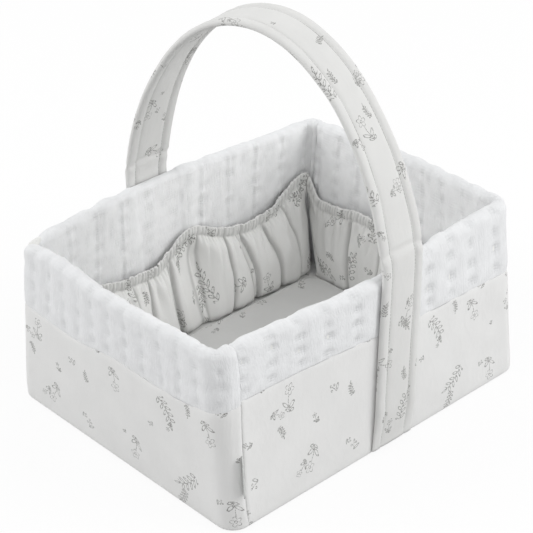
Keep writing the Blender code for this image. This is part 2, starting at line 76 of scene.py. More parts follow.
# Height of the seam between jersey and waffle cloth, by distance along each wall
SEAM_LINES = {
    "front": ((-0.184, 0.119), (-0.160, 0.1195), (-0.050, 0.120), (0.062, 0.112), (0.119, 0.108),
              (0.184, 0.105)),
    "right": ((-0.150, 0.105), (0.0, 0.109), (0.150, 0.107)),
    "back": ((-0.184, 0.107), (0.0, 0.111), (0.184, 0.106)),
    "left": ((-0.150, 0.106), (-0.040, 0.1045), (-0.003, 0.110), (0.084, 0.109), (0.120, 0.113),
             (0.165, 0.119)),
}
SEAM_MIDDLE_HEIGHT = 0.112

# How far the left wall's cloth runs past the near corner, by height
NEAR_SEAM_LINE = ((0.0, 0.002), (0.020, 0.001), (0.050, 0.0018), (0.078, 0.0034), (0.104, 0.0049),
                  (0.129, 0.0068), (0.150, 0.0075), (0.170, 0.0060))
FAR_SEAM_REACH = 0.0015

# How much higher the padded rim stands than the construction's, by distance along each wall
RIM_RISES = {
    "front": ((-0.184, 0.0), (-0.060, 0.0), (0.0, 0.001), (0.080, 0.0050), (0.184, 0.0055)),
    "right": ((-0.150, 0.0055), (0.0, 0.0045), (0.150, 0.0010)),
    "back": ((-0.184, 0.0010), (0.0, 0.0020), (0.120, 0.0025), (0.150, 0.0005), (0.184, -0.0090)),
    "left": ((-0.150, -0.0090), (-0.118, -0.0010), (0.0, 0.0), (0.150, 0.0)),
}
RISE_START_HEIGHT = 0.122

# Strap, as in the construction but for its feet, its crease and the arch's slow turn
STRAP_WIDTH = 0.050
STRAP_THICKNESS = 0.0064
STRAP_SKEW = 0.023
STRAP_FOOT_SKEW = 0.007
STRAP_FOOT_HEIGHT = 0.004
STRAP_FOOT_SHARE = 0.35
STRAP_FULL_HEIGHT = 0.045
LEG_TOP_HEIGHT = 0.172
PIVOT_HEIGHT = 0.1976
ARCH_TOP_HEIGHT = 0.372
ARCH_CENTRE_HEIGHT = 0.128
ARCH_RISE = ARCH_TOP_HEIGHT - STRAP_THICKNESS / 2 - ARCH_CENTRE_HEIGHT
ARCH_START_ANGLE = math.asin((PIVOT_HEIGHT - ARCH_CENTRE_HEIGHT) / ARCH_RISE)
ARCH_TURN_REACH = 0.60
UNDER_STRAP = 0.0252
BESIDE_STRAP = 0.0300

SIDES = {
    "front": (np.array((1.0, 0, 0)), np.array((0, -1.0, 0))),
    "right": (np.array((0, 1.0, 0)), np.array((1.0, 0, 0))),
    "back": (np.array((-1.0, 0, 0)), np.array((0, 1.0, 0))),
    "left": (np.array((0, -1.0, 0)), np.array((-1.0, 0, 0))),
}
NEXT_SIDE = {"front": "right", "right": "back", "back": "left", "left": "front"}
LAST_SIDE = {after: before for before, after in NEXT_SIDE.items()}
LONG_SIDES = ("front", "back")
LAPPED_SIDES = ("left", "back")
UP = np.array((0, 0, 1.0))


# Small sums

LATTICE = 64


def lerp(start, end, share):
    return start + (end - start) * share


def smooth(value, start, end):
    """0 before start, 1 after end, and an even slope between."""
    share = np.clip((value - start) / (end - start), 0, 1)
    return share * share * (3 - 2 * share)


def bell(distance, half_width):
    return np.exp(-((distance / half_width) ** 2))


def curve(x, table):
    """A smooth line through a table of (place, value)."""
    places, values = np.array(table).T
    slopes = np.gradient(values, places)
    low = np.clip(np.searchsorted(places, x) - 1, 0, len(places) - 2)
    step = places[low + 1] - places[low]
    share = np.clip((x - places[low]) / step, 0, 1)
    rest = 1 - share
    bend = step * share * rest * (slopes[low] * rest - slopes[low + 1] * share)
    near = values[low] * (1 + 2 * share) * rest**2
    return near + values[low + 1] * share**2 * (1 + 2 * rest) + bend


def ripple(x, y, seed):
    """Smooth unevenness between -1 and 1 on a lattice with a step of one unit."""
    lattice = np.random.RandomState(seed).uniform(-1, 1, (LATTICE, LATTICE))
    x = x + 0 * y
    y = y + 0 * x
    column = np.floor(x).astype(int)
    row = np.floor(y).astype(int)
    across = smooth(x - column, 0, 1)
    along = smooth(y - row, 0, 1)

    def line(at):
        start = lattice[column % LATTICE, at % LATTICE]
        return lerp(start, lattice[(column + 1) % LATTICE, at % LATTICE], across)

    return lerp(line(row), line(row + 1), along)


def roughen(out, table, x, y, seed):
    """Adds unevenness to out: rows of its height, its reach in x and in y, and a step of the
    seed."""
    for height, reach_x, reach_y, step in table:
        out += height * ripple(x / reach_x, y / reach_y, seed + step)


# Walls


def reach(side, height):
    share = height / WALL_HEIGHT
    if side in LONG_SIDES:
        return lerp(BASE_WIDTH, RIM_WIDTH, share) / 2
    return lerp(BASE_LENGTH, RIM_LENGTH, share) / 2


def straight_half(side, height):
    neighbour = "left" if side in LONG_SIDES else "front"
    return reach(neighbour, height) - CORNER_RADIUS


def half_round(side, height):
    """From the middle of a wall to the middle of its corner, along the outside."""
    return straight_half(side, height) + CORNER_ARC


def bow(side, run, height):
    most = LONG_WALL_BOW if side in LONG_SIDES else SHORT_WALL_BOW
    return most * height / WALL_HEIGHT * (1 + np.cos(math.pi * np.clip(run, -1, 1))) / 2


def put(side, along, out, height):
    along_way, outward = SIDES[side]
    return np.outer(along, along_way) + np.outer(out, outward) + np.outer(height, UP)


def wall_point(side, distance, height, depth):
    """Points of a wall by their distance from its middle, measured along the outside and on
    round the corners. depth is the distance in from the construction's outside."""
    straight = straight_half(side, height)
    half = straight + CORNER_ARC
    own = np.minimum(np.abs(distance), half)
    angle = np.maximum(own - straight, 0) / CORNER_ARC * math.pi / 4
    radius = CORNER_RADIUS - depth
    along = np.sign(distance) * (np.minimum(own, straight) + radius * np.sin(angle))
    out = reach(side, height) - depth + bow(side, own / straight, height)
    points = put(side, along, out - radius * (1 - np.cos(angle)), height)
    for past, other, way in (
        (distance > half, NEXT_SIDE[side], -1),
        (distance < -half, LAST_SIDE[side], 1),
    ):
        if past.any():
            over = np.abs(distance[past]) - half[past]
            place = way * (half_round(other, height[past]) - over)
            points[past] = wall_point(other, place, height[past], depth[past])
    return points


def face_point(side, along, height, depth):
    run = along / straight_half(side, height)
    return put(side, along, reach(side, height) - depth + bow(side, run, height), height)


def seam_shift(side, height):
    """How far past its far corner's middle a wall's cloth runs, on to the next wall."""
    if side == "left":
        return CORNER_ARC + curve(height, NEAR_SEAM_LINE)
    if side == "right":
        return np.full(len(height), -CORNER_ARC - FAR_SEAM_REACH)
    return np.zeros(len(height))


def cloth_span(side, height):
    """Where a wall's cloth starts and ends, as distances from the middle of the wall."""
    start = -half_round(side, height) + seam_shift(LAST_SIDE[side], height)
    return start, half_round(side, height) + seam_shift(side, height)


def strap_skew(height):
    """How far along a long wall the strap's leg stands from the wall's middle."""
    return lerp(STRAP_FOOT_SKEW, STRAP_SKEW, height / LEG_TOP_HEIGHT)


def beside_strap(side, distance, height):
    """0 under the strap and 1 beside it."""
    if side not in LONG_SIDES:
        return np.ones(len(distance))
    skew = strap_skew(np.clip(height, 0, LEG_TOP_HEIGHT))
    return smooth(np.abs(distance - skew), UNDER_STRAP, BESIDE_STRAP)


# Pieces from flat cuts


def unselect():
    bpy.ops.object.select_all(action="DESELECT")


def apply(piece, kind, **settings):
    """Adds a modifier and applies it."""
    unselect()
    piece.select_set(True)
    bpy.context.view_layer.objects.active = piece
    added = piece.modifiers.new(kind.lower(), kind)
    for name, value in settings.items():
        setattr(added, name, value)
    bpy.ops.object.modifier_apply(modifier=added.name)


def cut(name, columns, rows, shape, finish, hollow_shade=None):
    """A flat cut laid out as a grid, with its size in metres as its UV map, put in place by shape.
    columns and rows are the places of the grid's lines on the flat cut. hollow_shade gives how deep
    each point lies in a dent or crease, which the materials paint darker as painted shade."""
    unselect()
    counts = (len(columns) - 1, len(rows) - 1)
    bpy.ops.mesh.primitive_grid_add(x_subdivisions=counts[0], y_subdivisions=counts[1], size=1)
    piece = bpy.context.object
    piece.name = name
    mesh = piece.data
    mesh.name = name
    flat = np.empty(len(mesh.vertices) * 3)
    mesh.vertices.foreach_get("co", flat)
    shares = flat.reshape(-1, 3)[:, :2] + 0.5
    across = np.rint(shares[:, 0] * counts[0]).astype(int)
    along = np.rint(shares[:, 1] * counts[1]).astype(int)
    x = np.asarray(columns)[across]
    y = np.asarray(rows)[along]
    mesh.vertices.foreach_set("co", shape(x, y).astype(np.float32).ravel())
    corners = np.empty(len(mesh.loops), int)
    mesh.loops.foreach_get("vertex_index", corners)
    places = np.stack((x[corners], y[corners]), axis=1)
    mesh.uv_layers.active.data.foreach_set("uv", places.astype(np.float32).ravel())
    if hollow_shade is not None:
        kept = mesh.attributes.new("hollow_shade", "FLOAT", "POINT")
        kept.data.foreach_set("value", hollow_shade(x, y).astype(np.float32))
    mesh.materials.clear()
    mesh.materials.append(finish)
    mesh.shade_smooth()
    mesh.update()
    return piece


def lines(start, end, step):
    """Evenly spaced places from start to end, about a step apart."""
    return np.linspace(start, end, max(2, round((end - start) / step) + 1))


def lengths(points):
    """The way along a line of points, up to each of them."""
    return np.concatenate(([0], np.cumsum(np.linalg.norm(np.diff(points, axis=0), axis=1))))


def thicken(piece, thickness):
    apply(piece, "SOLIDIFY", thickness=thickness, offset=-1, use_even_offset=False)


# Where the roll beside an upright seam rises and falls off, and half the width of a stitch line
SEAM_ROLL_RISE = (0.0005, 0.0022)
SEAM_ROLL_FALL = (0.004, 0.009)
STITCH_LINE_HALF_WIDTH = 0.0012


def upright_seam(side, edge, rolls, dip):
    """The roll beside an upright seam and the dip at its stitches, by the distance to the cloth's
    edge. rolls holds the roll of the cloth that laps over, and that of the cloth below."""
    ridge = smooth(edge, *SEAM_ROLL_RISE) * (1 - smooth(edge, *SEAM_ROLL_FALL))
    roll = rolls[0] if side in LAPPED_SIDES else rolls[1]
    return roll * ridge - dip * bell(edge, STITCH_LINE_HALF_WIDTH)


# Waffle panels

WAFFLE_PITCHES = {"front": 0.031, "right": 0.027, "back": 0.033, "left": 0.0215}
WAFFLE_ROW = 0.0160
WAFFLE_OUTSIDE = CREST_CENTRE_HEIGHT - SEAM_MIDDLE_HEIGHT
WAFFLE_OVER = math.pi * CREST_RADIUS
WAFFLE_SHOWN_LINING = 0.092
WAFFLE_SHOWN = WAFFLE_OUTSIDE + WAFFLE_OVER + WAFFLE_SHOWN_LINING
WAFFLE_TALL = WAFFLE_OUTSIDE + WAFFLE_OVER + (CREST_CENTRE_HEIGHT - LINING_FOOT_HEIGHT)
WAFFLE_STEP = 0.0016
WAFFLE_HIDDEN_STEP = 0.006
WAFFLE_THICKNESS = 0.0009
WAFFLE_LIFT = 0.0004
WAFFLE_PUFF = 0.0008
WAFFLE_GRAIN = ((0.00030, 0.0045, 0.020, 2), (0.00040, 0.012, 0.013, 3))
WAFFLE_ROLLS = (0.0007, 0.0001)
WAFFLE_SEAM_DIP = 0.0009

# The sewn-in dents: their sizes, and how much chance changes them
WAFFLE_DENT = 0.0024
DENT_WIDTH_SHARE = 0.17
DENT_STRENGTHS = {"front": 1.0, "right": 0.75, "back": 0.75, "left": 0.55}
DENT_HALF_HEIGHT = 0.0044
DENT_STROKE_PITCH = 0.0043
DENT_STROKE_DEPTH = 0.25
DENT_TABLE = (40, 40)
DENT_SHIFT_X = 0.0016
DENT_SHIFT_Y = 0.0018
DENT_STRENGTH_SPAN = (0.55, 1.0)
DENT_WIDTH_SPAN = (0.8, 1.25)
COLUMN_SWAY = 0.0018

# Inside, where the cloth is the lining
LINING_PUFF = 0.0027
LINING_RIDGE_SHARE = 0.55
LINING_DENT_SHARE = 0.80
LINING_SHADE_SHARE = 0.92
LINING_CRUSH = 0.00085
LINING_SLACK_SHADE = 0.38
LINING_ANGLES = (0.60 * math.pi, 0.97 * math.pi)
CORNER_STRIP = 0.012
CORNER_STRIP_DEPTH = 0.0009
CORNER_OVERLAP = 0.0004

# Over the crest the dents are shallower, and the cloth rises and falls
CREST_DENT_LOSS = 0.65
CREST_SWAY = 0.002
CREST_BUMP = 0.0006


def waffle_dents(side, x, y, seed):
    """How deep the quilting's sewn-in dents are, from 0 to 1, and how puffed the columns are."""
    chance = np.random.RandomState(seed)
    shift_x = chance.uniform(-DENT_SHIFT_X, DENT_SHIFT_X, DENT_TABLE)
    shift_y = chance.uniform(-DENT_SHIFT_Y, DENT_SHIFT_Y, DENT_TABLE)
    strength = chance.uniform(*DENT_STRENGTH_SPAN, DENT_TABLE)
    wide = chance.uniform(*DENT_WIDTH_SPAN, DENT_TABLE)
    swayed = x + COLUMN_SWAY * ripple(x / 0.06, y / 0.05, seed + 1)
    pitch = WAFFLE_PITCHES[side]
    column = np.rint(swayed / pitch).astype(int)
    puff = np.abs(np.sin(math.pi * swayed / pitch))
    y = y - WAFFLE_ROW / 2
    row = np.rint(y / WAFFLE_ROW).astype(int)
    depth = np.zeros(len(x))
    for step in (-1, 0, 1):
        key = (column % DENT_TABLE[0], (row + step) % DENT_TABLE[1])
        off_x = swayed - column * pitch - shift_x[key]
        off_y = y - (row + step) * WAFFLE_ROW - shift_y[key]
        dent = np.exp(-np.abs(off_x / (DENT_WIDTH_SHARE * pitch) / wide[key]) ** 3)
        dent *= np.exp(-np.abs(off_y / DENT_HALF_HEIGHT) ** 3)
        stroke = np.cos(2 * math.pi * off_x / DENT_STROKE_PITCH)
        dent *= 1 - DENT_STROKE_DEPTH + DENT_STROKE_DEPTH * stroke
        depth += strength[key] * dent
    return DENT_STRENGTHS[side] * np.clip(depth, 0, 1), puff


def crest_bumps(side, x, seed):
    """The rise and fall of the padded rim along a wall."""
    swayed = x + CREST_SWAY * ripple(x / 0.05, 0 * x, seed + 4)
    bumps = np.cos(2 * math.pi * swayed / WAFFLE_PITCHES[side])
    bumps = CREST_BUMP * bumps * ripple(x / 0.031, 0 * x + 3, seed + 5)
    return bumps + CREST_BUMP * ripple(x / 0.017, 0 * x, seed + 6)


def waffle_panel(side, finish, seed):
    """From the seam with the jersey up the outside, over the rim and down the inside."""
    rows = np.concatenate((
        lines(0, WAFFLE_SHOWN, WAFFLE_STEP)[:-1],
        lines(WAFFLE_SHOWN, WAFFLE_TALL, WAFFLE_HIDDEN_STEP),
    ))
    first, last = (float(end[0]) for end in cloth_span(side, np.array([CREST_CENTRE_HEIGHT])))
    columns = lines(first, last, WAFFLE_STEP)

    def shape(x, y):
        angle = np.clip((y - WAFFLE_OUTSIDE) / CREST_RADIUS, 0, math.pi)
        over_crest = np.sin(angle)
        flat_height = CREST_CENTRE_HEIGHT + CREST_RADIUS * over_crest
        flat_height -= np.maximum(y - WAFFLE_OUTSIDE - WAFFLE_OVER, 0)
        below = np.clip(1 - y / WAFFLE_OUTSIDE, 0, 1)
        flat_height -= below * (CREST_CENTRE_HEIGHT - curve(x, SEAM_LINES[side]))
        start, end = cloth_span(side, flat_height)
        distance = lerp(start - CORNER_OVERLAP, end + CORNER_OVERLAP, (x - first) / (last - first))
        free = beside_strap(side, distance, flat_height)
        inner = smooth(angle, *LINING_ANGLES)

        # Quilting and crumples
        depth, puff = waffle_dents(side, x, y, seed)
        ridges = LINING_RIDGE_SHARE * puff**0.8 + (1 - puff) ** 6
        out = WAFFLE_LIFT + WAFFLE_PUFF * puff**1.4 * (1 - inner) + LINING_PUFF * ridges * inner
        shallow = lerp(1, LINING_DENT_SHARE, inner)
        out -= WAFFLE_DENT * depth * shallow * (1 - CREST_DENT_LOSS * over_crest)
        roughen(out, WAFFLE_GRAIN, x, y, seed)
        out += LINING_CRUSH * inner * ripple(x / 0.009, y / 0.045, seed + 7)

        # Held flat at the seam, behind the pockets and under the strap
        out *= 0.25 + 0.75 * smooth(y, 0, 0.010)
        out *= 1 - 0.9 * smooth(y, WAFFLE_SHOWN, WAFFLE_SHOWN + 0.01)
        out -= 0.0004 * bell(y, STITCH_LINE_HALF_WIDTH)
        out *= free
        edge = np.minimum(distance - start, end - distance)
        out += upright_seam(side, edge, WAFFLE_ROLLS, WAFFLE_SEAM_DIP)
        out += over_crest * crest_bumps(side, x, seed) * free
        to_strip = straight_half(side, flat_height) - CORNER_STRIP - np.abs(distance)
        out -= CORNER_STRIP_DEPTH * inner * (1 - smooth(to_strip, -0.0012, 0.0004))

        height = flat_height + out * over_crest
        rise = curve(distance, RIM_RISES[side]) * smooth(height, RISE_START_HEIGHT, WALL_HEIGHT)
        depth_in = CREST_RADIUS - (CREST_RADIUS + out) * np.cos(angle)
        return wall_point(side, distance, height, depth_in) + np.outer(rise, UP)

    # Painted shade: darkest in the quilting's dents, with soft patches of painted shade on the
    # lining inside.
    def hollow_shade(x, y):
        inner = smooth(y, WAFFLE_OUTSIDE + WAFFLE_OVER / 2, WAFFLE_OUTSIDE + WAFFLE_OVER)
        slack = np.clip(1.5 * ripple(x / 0.0075, y / 0.018, seed + 7) - 0.2, 0, 1)
        dents = waffle_dents(side, x, y, seed)[0] * lerp(1, LINING_SHADE_SHARE, inner)
        return dents + LINING_SLACK_SHADE * inner * slack

    panel = cut(f"{side}_waffle_panel", columns, rows, shape, finish, hollow_shade)
    thicken(panel, WAFFLE_THICKNESS)
    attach(panel, "basket")
    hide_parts(f"{side}_wall_waffle")


# Jersey covers and flat layers

JERSEY_THICKNESS = 0.0007
JERSEY_STEP = 0.004
JERSEY_SIDE_HEM = 0.012
JERSEY_SIDE_STEP = 0.0012
JERSEY_TOP_HEM = 0.008
JERSEY_TOP_STEP = 0.0011
JERSEY_LIFT = 0.0004
JERSEY_WAVES = ((0.0006, 0.045, 0.060, 0), (0.00030, 0.014, 0.034, 1))
JERSEY_ROLLS = (0.0006, 0.0001)
JERSEY_SEAM_DIP = 0.0010
SEAM_OVERLAP = 0.0010
LAYER_STEP = 0.006
LAYER_WAVE = 0.0002


def jersey_cover(side, finish, seed):
    """From under the bottom edge up to the seam with the waffle cloth."""
    edge = EDGE_ROUND * math.pi / 2
    tall = edge + SEAM_MIDDLE_HEIGHT - EDGE_ROUND
    first, last = (float(end[0]) for end in cloth_span(side, np.array([SEAM_MIDDLE_HEIGHT])))
    hem_end = first + JERSEY_SIDE_HEM
    hem_start = last - JERSEY_SIDE_HEM
    columns = np.unique(np.concatenate((
        lines(first, hem_end, JERSEY_SIDE_STEP), lines(hem_end, hem_start, JERSEY_STEP),
        lines(hem_start, last, JERSEY_SIDE_STEP),
    )))
    rows = np.concatenate((
        lines(0, edge, edge / 4)[:-1], lines(edge, tall - JERSEY_TOP_HEM, JERSEY_STEP)[:-1],
        lines(tall - JERSEY_TOP_HEM, tall, JERSEY_TOP_STEP),
    ))

    def shape(x, y):
        angle = np.clip(y / EDGE_ROUND, 0, math.pi / 2)
        climb = np.maximum(y - edge, 0) / (tall - edge)
        height = EDGE_ROUND - EDGE_ROUND * np.cos(angle)
        height += climb * (curve(x, SEAM_LINES[side]) + SEAM_OVERLAP - EDGE_ROUND)
        start, end = cloth_span(side, height)
        distance = lerp(start, end, (x - first) / (last - first))
        out = np.zeros(len(x))
        roughen(out, JERSEY_WAVES, x, y, seed)
        out += JERSEY_LIFT
        out *= smooth(y, 0, 0.030) * beside_strap(side, distance, height)
        out -= 0.0005 * bell(tall - y, 0.0028)
        seam = upright_seam(side, np.minimum(distance - start, end - distance), JERSEY_ROLLS,
                            JERSEY_SEAM_DIP)
        out += seam * smooth(y, edge * 0.6, 0.02)
        depth = EDGE_ROUND - EDGE_ROUND * np.sin(angle) - out
        return wall_point(side, distance, height, depth)

    cover = cut(f"{side}_jersey_cover", columns, rows, shape, finish)
    thicken(cover, JERSEY_THICKNESS)
    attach(cover, "basket")
    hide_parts(f"{side}_wall_cover")


def rounded_place(x, y, half_length, half_width, radius):
    """Draws the corners of a rectangle in to a round."""
    inner_x = half_length - radius
    inner_y = half_width - radius
    over_x = np.maximum(np.abs(x) - inner_x, 0)
    over_y = np.maximum(np.abs(y) - inner_y, 0)
    length = np.maximum(np.hypot(over_x, over_y), 1e-9)
    pull = np.where((over_x > 0) & (over_y > 0), np.maximum(over_x, over_y) / length, 1)
    px = np.sign(x) * (np.minimum(np.abs(x), inner_x) + over_x * pull)
    py = np.sign(y) * (np.minimum(np.abs(y), inner_y) + over_y * pull)
    return px, py


def flat_layer(name, node, finish, seed):
    """A layer that lies flat inside the walls, with rounded corners."""
    low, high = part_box(node)
    columns = lines(low.x, high.x, LAYER_STEP)
    rows = lines(low.y, high.y, LAYER_STEP)

    def shape(x, y):
        px, py = rounded_place(x, y, high.x, high.y, CORNER_RADIUS)
        wave = LAYER_WAVE * ripple(x / 0.03, y / 0.03, seed)
        return np.stack((px, py, high.z - LAYER_WAVE + wave), axis=1)

    layer = cut(name, columns, rows, shape, finish)
    thicken(layer, JERSEY_THICKNESS)
    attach(layer, "basket")
    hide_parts(node)


# Gathered pockets

LONG_POCKET_BELLY = 0.037
SHORT_POCKET_BELLY = 0.021
LONG_POCKET_THROAT = 0.0065
SHORT_POCKET_THROAT = 0.0085
BELLY_POWER = 2.2
HEM_TUCK_SHARE = 0.25
HEM_TUCK_LEVEL = 0.1
MITRE_GAP = 0.0003
POCKET_STEP = 0.0007
POCKET_MEASURE_PART = 0.55
INSERT_GAP = 0.0015

# The header with its casing for the elastic
HEADER_HEIGHT = 0.009
HEADER_LOOP = 0.006
HEADER_FACE_LIFT = 0.0004
HEADER_BACK_LIFT = 0.0003
CASING_DEPTH = 0.0026
ELASTIC_WIDTH = 0.006
ELASTIC_THICKNESS = 0.0008
ELASTIC_STEP = 0.0015
ELASTIC_END_GAP = 0.001
ELASTIC_DROP = 0.0018
RUFFLE_PITCH = 0.0040
RUFFLE_DEPTH = 0.0023
RUFFLE_RISE = 0.0021

# A pocket's top height by distance along its wall
LONG_TOP_LINE = (
    (-0.168, 0.1138), (-0.161, 0.1165), (-0.154, 0.1172), (-0.146, 0.1148), (-0.130, 0.1042),
    (-0.112, 0.0945), (-0.088, 0.0900), (-0.069, 0.0905), (-0.040, 0.0990), (-0.022, 0.1070),
    (-0.013, 0.1085), (-0.004, 0.1060), (0.022, 0.0895), (0.036, 0.0850), (0.055, 0.0860),
    (0.076, 0.0885), (0.099, 0.0940), (0.128, 0.1035), (0.150, 0.1120), (0.160, 0.1150),
    (0.168, 0.1155),
)
SHORT_TOP_LINE = (
    (-0.122, 0.1155), (-0.115, 0.1130), (-0.106, 0.1020), (-0.094, 0.0945), (-0.070, 0.0935),
    (-0.020, 0.0975), (0.020, 0.1000), (0.045, 0.0995), (0.070, 0.0945), (0.088, 0.0925),
    (0.099, 0.0918), (0.1055, 0.0935), (0.1105, 0.1005), (0.1155, 0.1095), (0.119, 0.1128),
    (0.122, 0.1138),
)

# Creases: distance along the wall at mid height, lean from hem to header, height of the panel
# that stands between this crease and the next. Two that stand close have a tuck between them.
LONG_CREASES = (
    (-0.170, 0.0, 0.0045), (-0.137, 0.028, 0.0075), (-0.108, 0.020, 0.0062),
    (-0.0780, 0.012, 0.0003),
    (-0.0700, 0.010, 0.0062), (-0.0495, -0.008, 0.0095), (-0.0175, -0.003, 0.0003),
    (-0.0095, 0.0, 0.0065), (0.0205, -0.005, 0.0003), (0.0245, -0.005, 0.0068),
    (0.0515, -0.006, 0.0045), (0.069, 0.0, 0.0065), (0.098, -0.004, 0.0060),
    (0.130, -0.012, 0.0045), (0.170, 0.0, 0.0),
)
SHORT_CREASES = (
    (-0.124, 0.0, 0.0050), (-0.088, -0.010, 0.0060), (-0.047, 0.006, 0.0050),
    (-0.012, 0.004, 0.0003), (-0.006, 0.0, 0.0045), (0.012, -0.004, 0.0056),
    (0.056, -0.009, 0.0070), (0.124, 0.0, 0.0),
)
DIVISION_PLACE = -0.0132
CREASE_WANDER = 0.0032
CREASE_DEPTH = 0.0022
CREASE_HALF_WIDTH = 0.0017
PANEL_SCALE = 1.65
PANEL_POWER = 0.34
PANEL_LEAN_SPAN = (0.75, 1.35)

# Wrinkles: soft ones, slanted ones, and the pulls that the header gathers
SOFT_WRINKLE = 0.0021
SLANTED_WRINKLE = 0.0013
PULL_DEPTH = 0.0045
PULL_PITCH = 0.0115


def pocket_sizes(side):
    """A pocket's belly, throat, top line and creases."""
    if side in LONG_SIDES:
        return LONG_POCKET_BELLY, LONG_POCKET_THROAT, LONG_TOP_LINE, LONG_CREASES
    return SHORT_POCKET_BELLY, SHORT_POCKET_THROAT, SHORT_TOP_LINE, SHORT_CREASES


def pocket_bulge(side, level):
    belly, throat, _, _ = pocket_sizes(side)
    hem_tuck = 1 - HEM_TUCK_SHARE * np.maximum(1 - level / HEM_TUCK_LEVEL, 0) ** 2
    return lerp(throat, belly, (1 - level**BELLY_POWER) * hem_tuck)


def end_gap(side, level):
    """Distance from the lining to a pocket's cloth at its ends, where it meets the next one."""
    swell = (1 - level) ** 1.5 * pocket_bulge(side, level)
    return 2 * CLEARANCE + np.hypot(swell, HEADER_LOOP * smooth(level, 0.7, 1))


def pocket_half(side, height, level):
    """Half the length of a pocket, up to its mitre with the next pocket."""
    neighbour = "right" if side in LONG_SIDES else "back"
    mitre = reach(neighbour, height) - WALL_THICKNESS - end_gap(neighbour, level) - MITRE_GAP
    return np.minimum(mitre, straight_half(side, height))


def pocket_place(side, along):
    """The place in its compartment, from 0 to 1. Only the long pockets have a division."""
    limit = pocket_sizes(side)[2][-1][0]
    low = np.full(len(along), -limit)
    high = np.full(len(along), limit)
    if side in LONG_SIDES:
        low = np.where(along < DIVISION_PLACE, low, DIVISION_PLACE)
        high = np.where(along < DIVISION_PLACE, DIVISION_PLACE, high)
    return np.clip((along - low) / (high - low), 0, 1)


def pocket_folds(side, along, level, seed):
    """Height of the smooth panels between the creases, and how near a crease is, from 0 to 1."""
    middles, leans, crowns = np.array(pocket_sizes(side)[3]).T
    lean = np.interp(along, middles, leans)
    wander = CREASE_WANDER * ripple(along / 0.03, level * 2.2, seed)
    place = along - lean * (level - 0.5) + wander
    which = np.clip(np.searchsorted(middles, place) - 1, 0, len(middles) - 2)
    width = middles[which + 1] - middles[which]
    share = np.clip((place - middles[which]) / width, 0, 1)
    leaning = np.random.RandomState(seed).uniform(*PANEL_LEAN_SPAN, len(middles))[which]
    share = share**leaning
    crown = (4 * share * (1 - share)) ** PANEL_POWER
    spread = 0.60 + 0.75 * level - 0.55 * level**2
    near = np.minimum(share, 1 - share) * width
    return PANEL_SCALE * crowns[which] * crown * spread, bell(near, CREASE_HALF_WIDTH)


def pocket_gap(side, along, level, seed):
    """Distance from the lining to the back of the cloth, with its folds."""
    fill = np.maximum(np.sin(math.pi * pocket_place(side, along)), 0) ** 0.6
    folds, crease = pocket_folds(side, along, level, seed)
    at_header = smooth(level, 0.86, 1.0)
    base = pocket_bulge(side, level) - 0.0042 * (1 - at_header)
    gap = base + (folds - CREASE_DEPTH * crease) * (1 - 0.75 * at_header)
    pulls = (along + 0.010 * (level - 0.5)) / PULL_PITCH
    pulls += 0.45 * ripple(along / 0.02, level, seed + 2)
    pulls = 0.6 - np.abs(np.sin(math.pi * pulls)) ** 0.6
    pull_start = 0.55 + 0.25 * ripple(along / 0.011, 0 * along, seed + 3)
    soft = ripple(along / 0.0085, level * 1.3, seed + 8)
    gap += SOFT_WRINKLE * soft * (1 - 0.7 * at_header)
    slanted = ripple((along + 0.035 * level) / 0.011, level * 2.4, seed + 9)
    slanted += ripple((along - 0.040 * level) / 0.013, level * 2.0, seed + 10)
    gap += SLANTED_WRINKLE * slanted * smooth(level, 0.15, 0.6) * (1 - at_header)
    gap -= PULL_DEPTH * pulls * smooth(level, pull_start, 0.95) * (1 - 0.6 * at_header)
    end = end_gap(side, level) - 2 * CLEARANCE
    filled = np.clip(fill * 1.6, 0, 1)
    return 2 * CLEARANCE + lerp(end, lerp(1, fill, level) * gap, filled)


def header_ruffles(along, in_header, seed):
    """0 in the gaps between the elastic's ruffles and 1 on top of them."""
    wave = along / RUFFLE_PITCH + 0.55 * ripple(along / 0.009, 0 * along, seed + 5)
    wave += 0.35 * in_header
    crest = np.abs(np.sin(math.pi * wave)) ** 0.75
    return crest * (0.80 + 0.20 * ripple(along / 0.006, 0 * along, seed + 6))


def clear_of_insert(side, out):
    """Keeps the cloth off the loose insert, with a soft bend where it would touch."""
    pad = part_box("insert_cover")[1]
    nearest = (pad.y if side in LONG_SIDES else pad.x) + INSERT_GAP
    return (out + nearest + np.sqrt((out - nearest) ** 2 + INSERT_GAP**2)) / 2


def pocket_surface(side, along, part, seed):
    """Points of the gathered cloth by the distance along the wall at the header. part runs 0 to
    1 up the front, to 2 over the top and to 3 down behind."""
    top_line = pocket_sizes(side)[2]
    top = curve(along, top_line)
    header = HEADER_HEIGHT / (np.min([value for _, value in top_line]) - POCKET_FOOT_HEIGHT)
    header_start = 1 - header
    level = np.minimum(part / header_start, 1)
    in_header = np.clip((part - header_start) / header, 0, 1)
    gap = pocket_gap(side, along, level, seed) + CASING_DEPTH * smooth(level, 0.65, 1)
    fine = header_ruffles(along, in_header, seed)
    front = gap + HEADER_FACE_LIFT + RUFFLE_DEPTH * (fine - 0.35) * smooth(level, 0.86, 0.99)
    front -= 0.0006 * bell(part - header_start, 0.014)
    front += 0.0007 * np.sin(math.pi * in_header)
    back = gap - CASING_DEPTH + HEADER_BACK_LIFT - 0.0002 * fine
    turn = np.clip(part - 1, 0, 1) * math.pi
    turned = (front + back) / 2 + (front - back) / 2 * np.cos(turn)
    depth = np.where(part <= 1, front, np.where(part >= 2, back, turned))
    height = lerp(POCKET_FOOT_HEIGHT, top - HEADER_HEIGHT, level) + HEADER_HEIGHT * in_header
    height += 0.0011 * np.sin(turn) + RUFFLE_RISE * (fine - 0.5) * in_header
    height -= HEADER_HEIGHT * np.clip(part - 2, 0, 1)
    limit = straight_half(side, height)
    place = along * pocket_half(side, height, level) / limit
    out = reach(side, height) + bow(side, place / limit, height) - WALL_THICKNESS - depth
    return put(side, place, clear_of_insert(side, out), height)


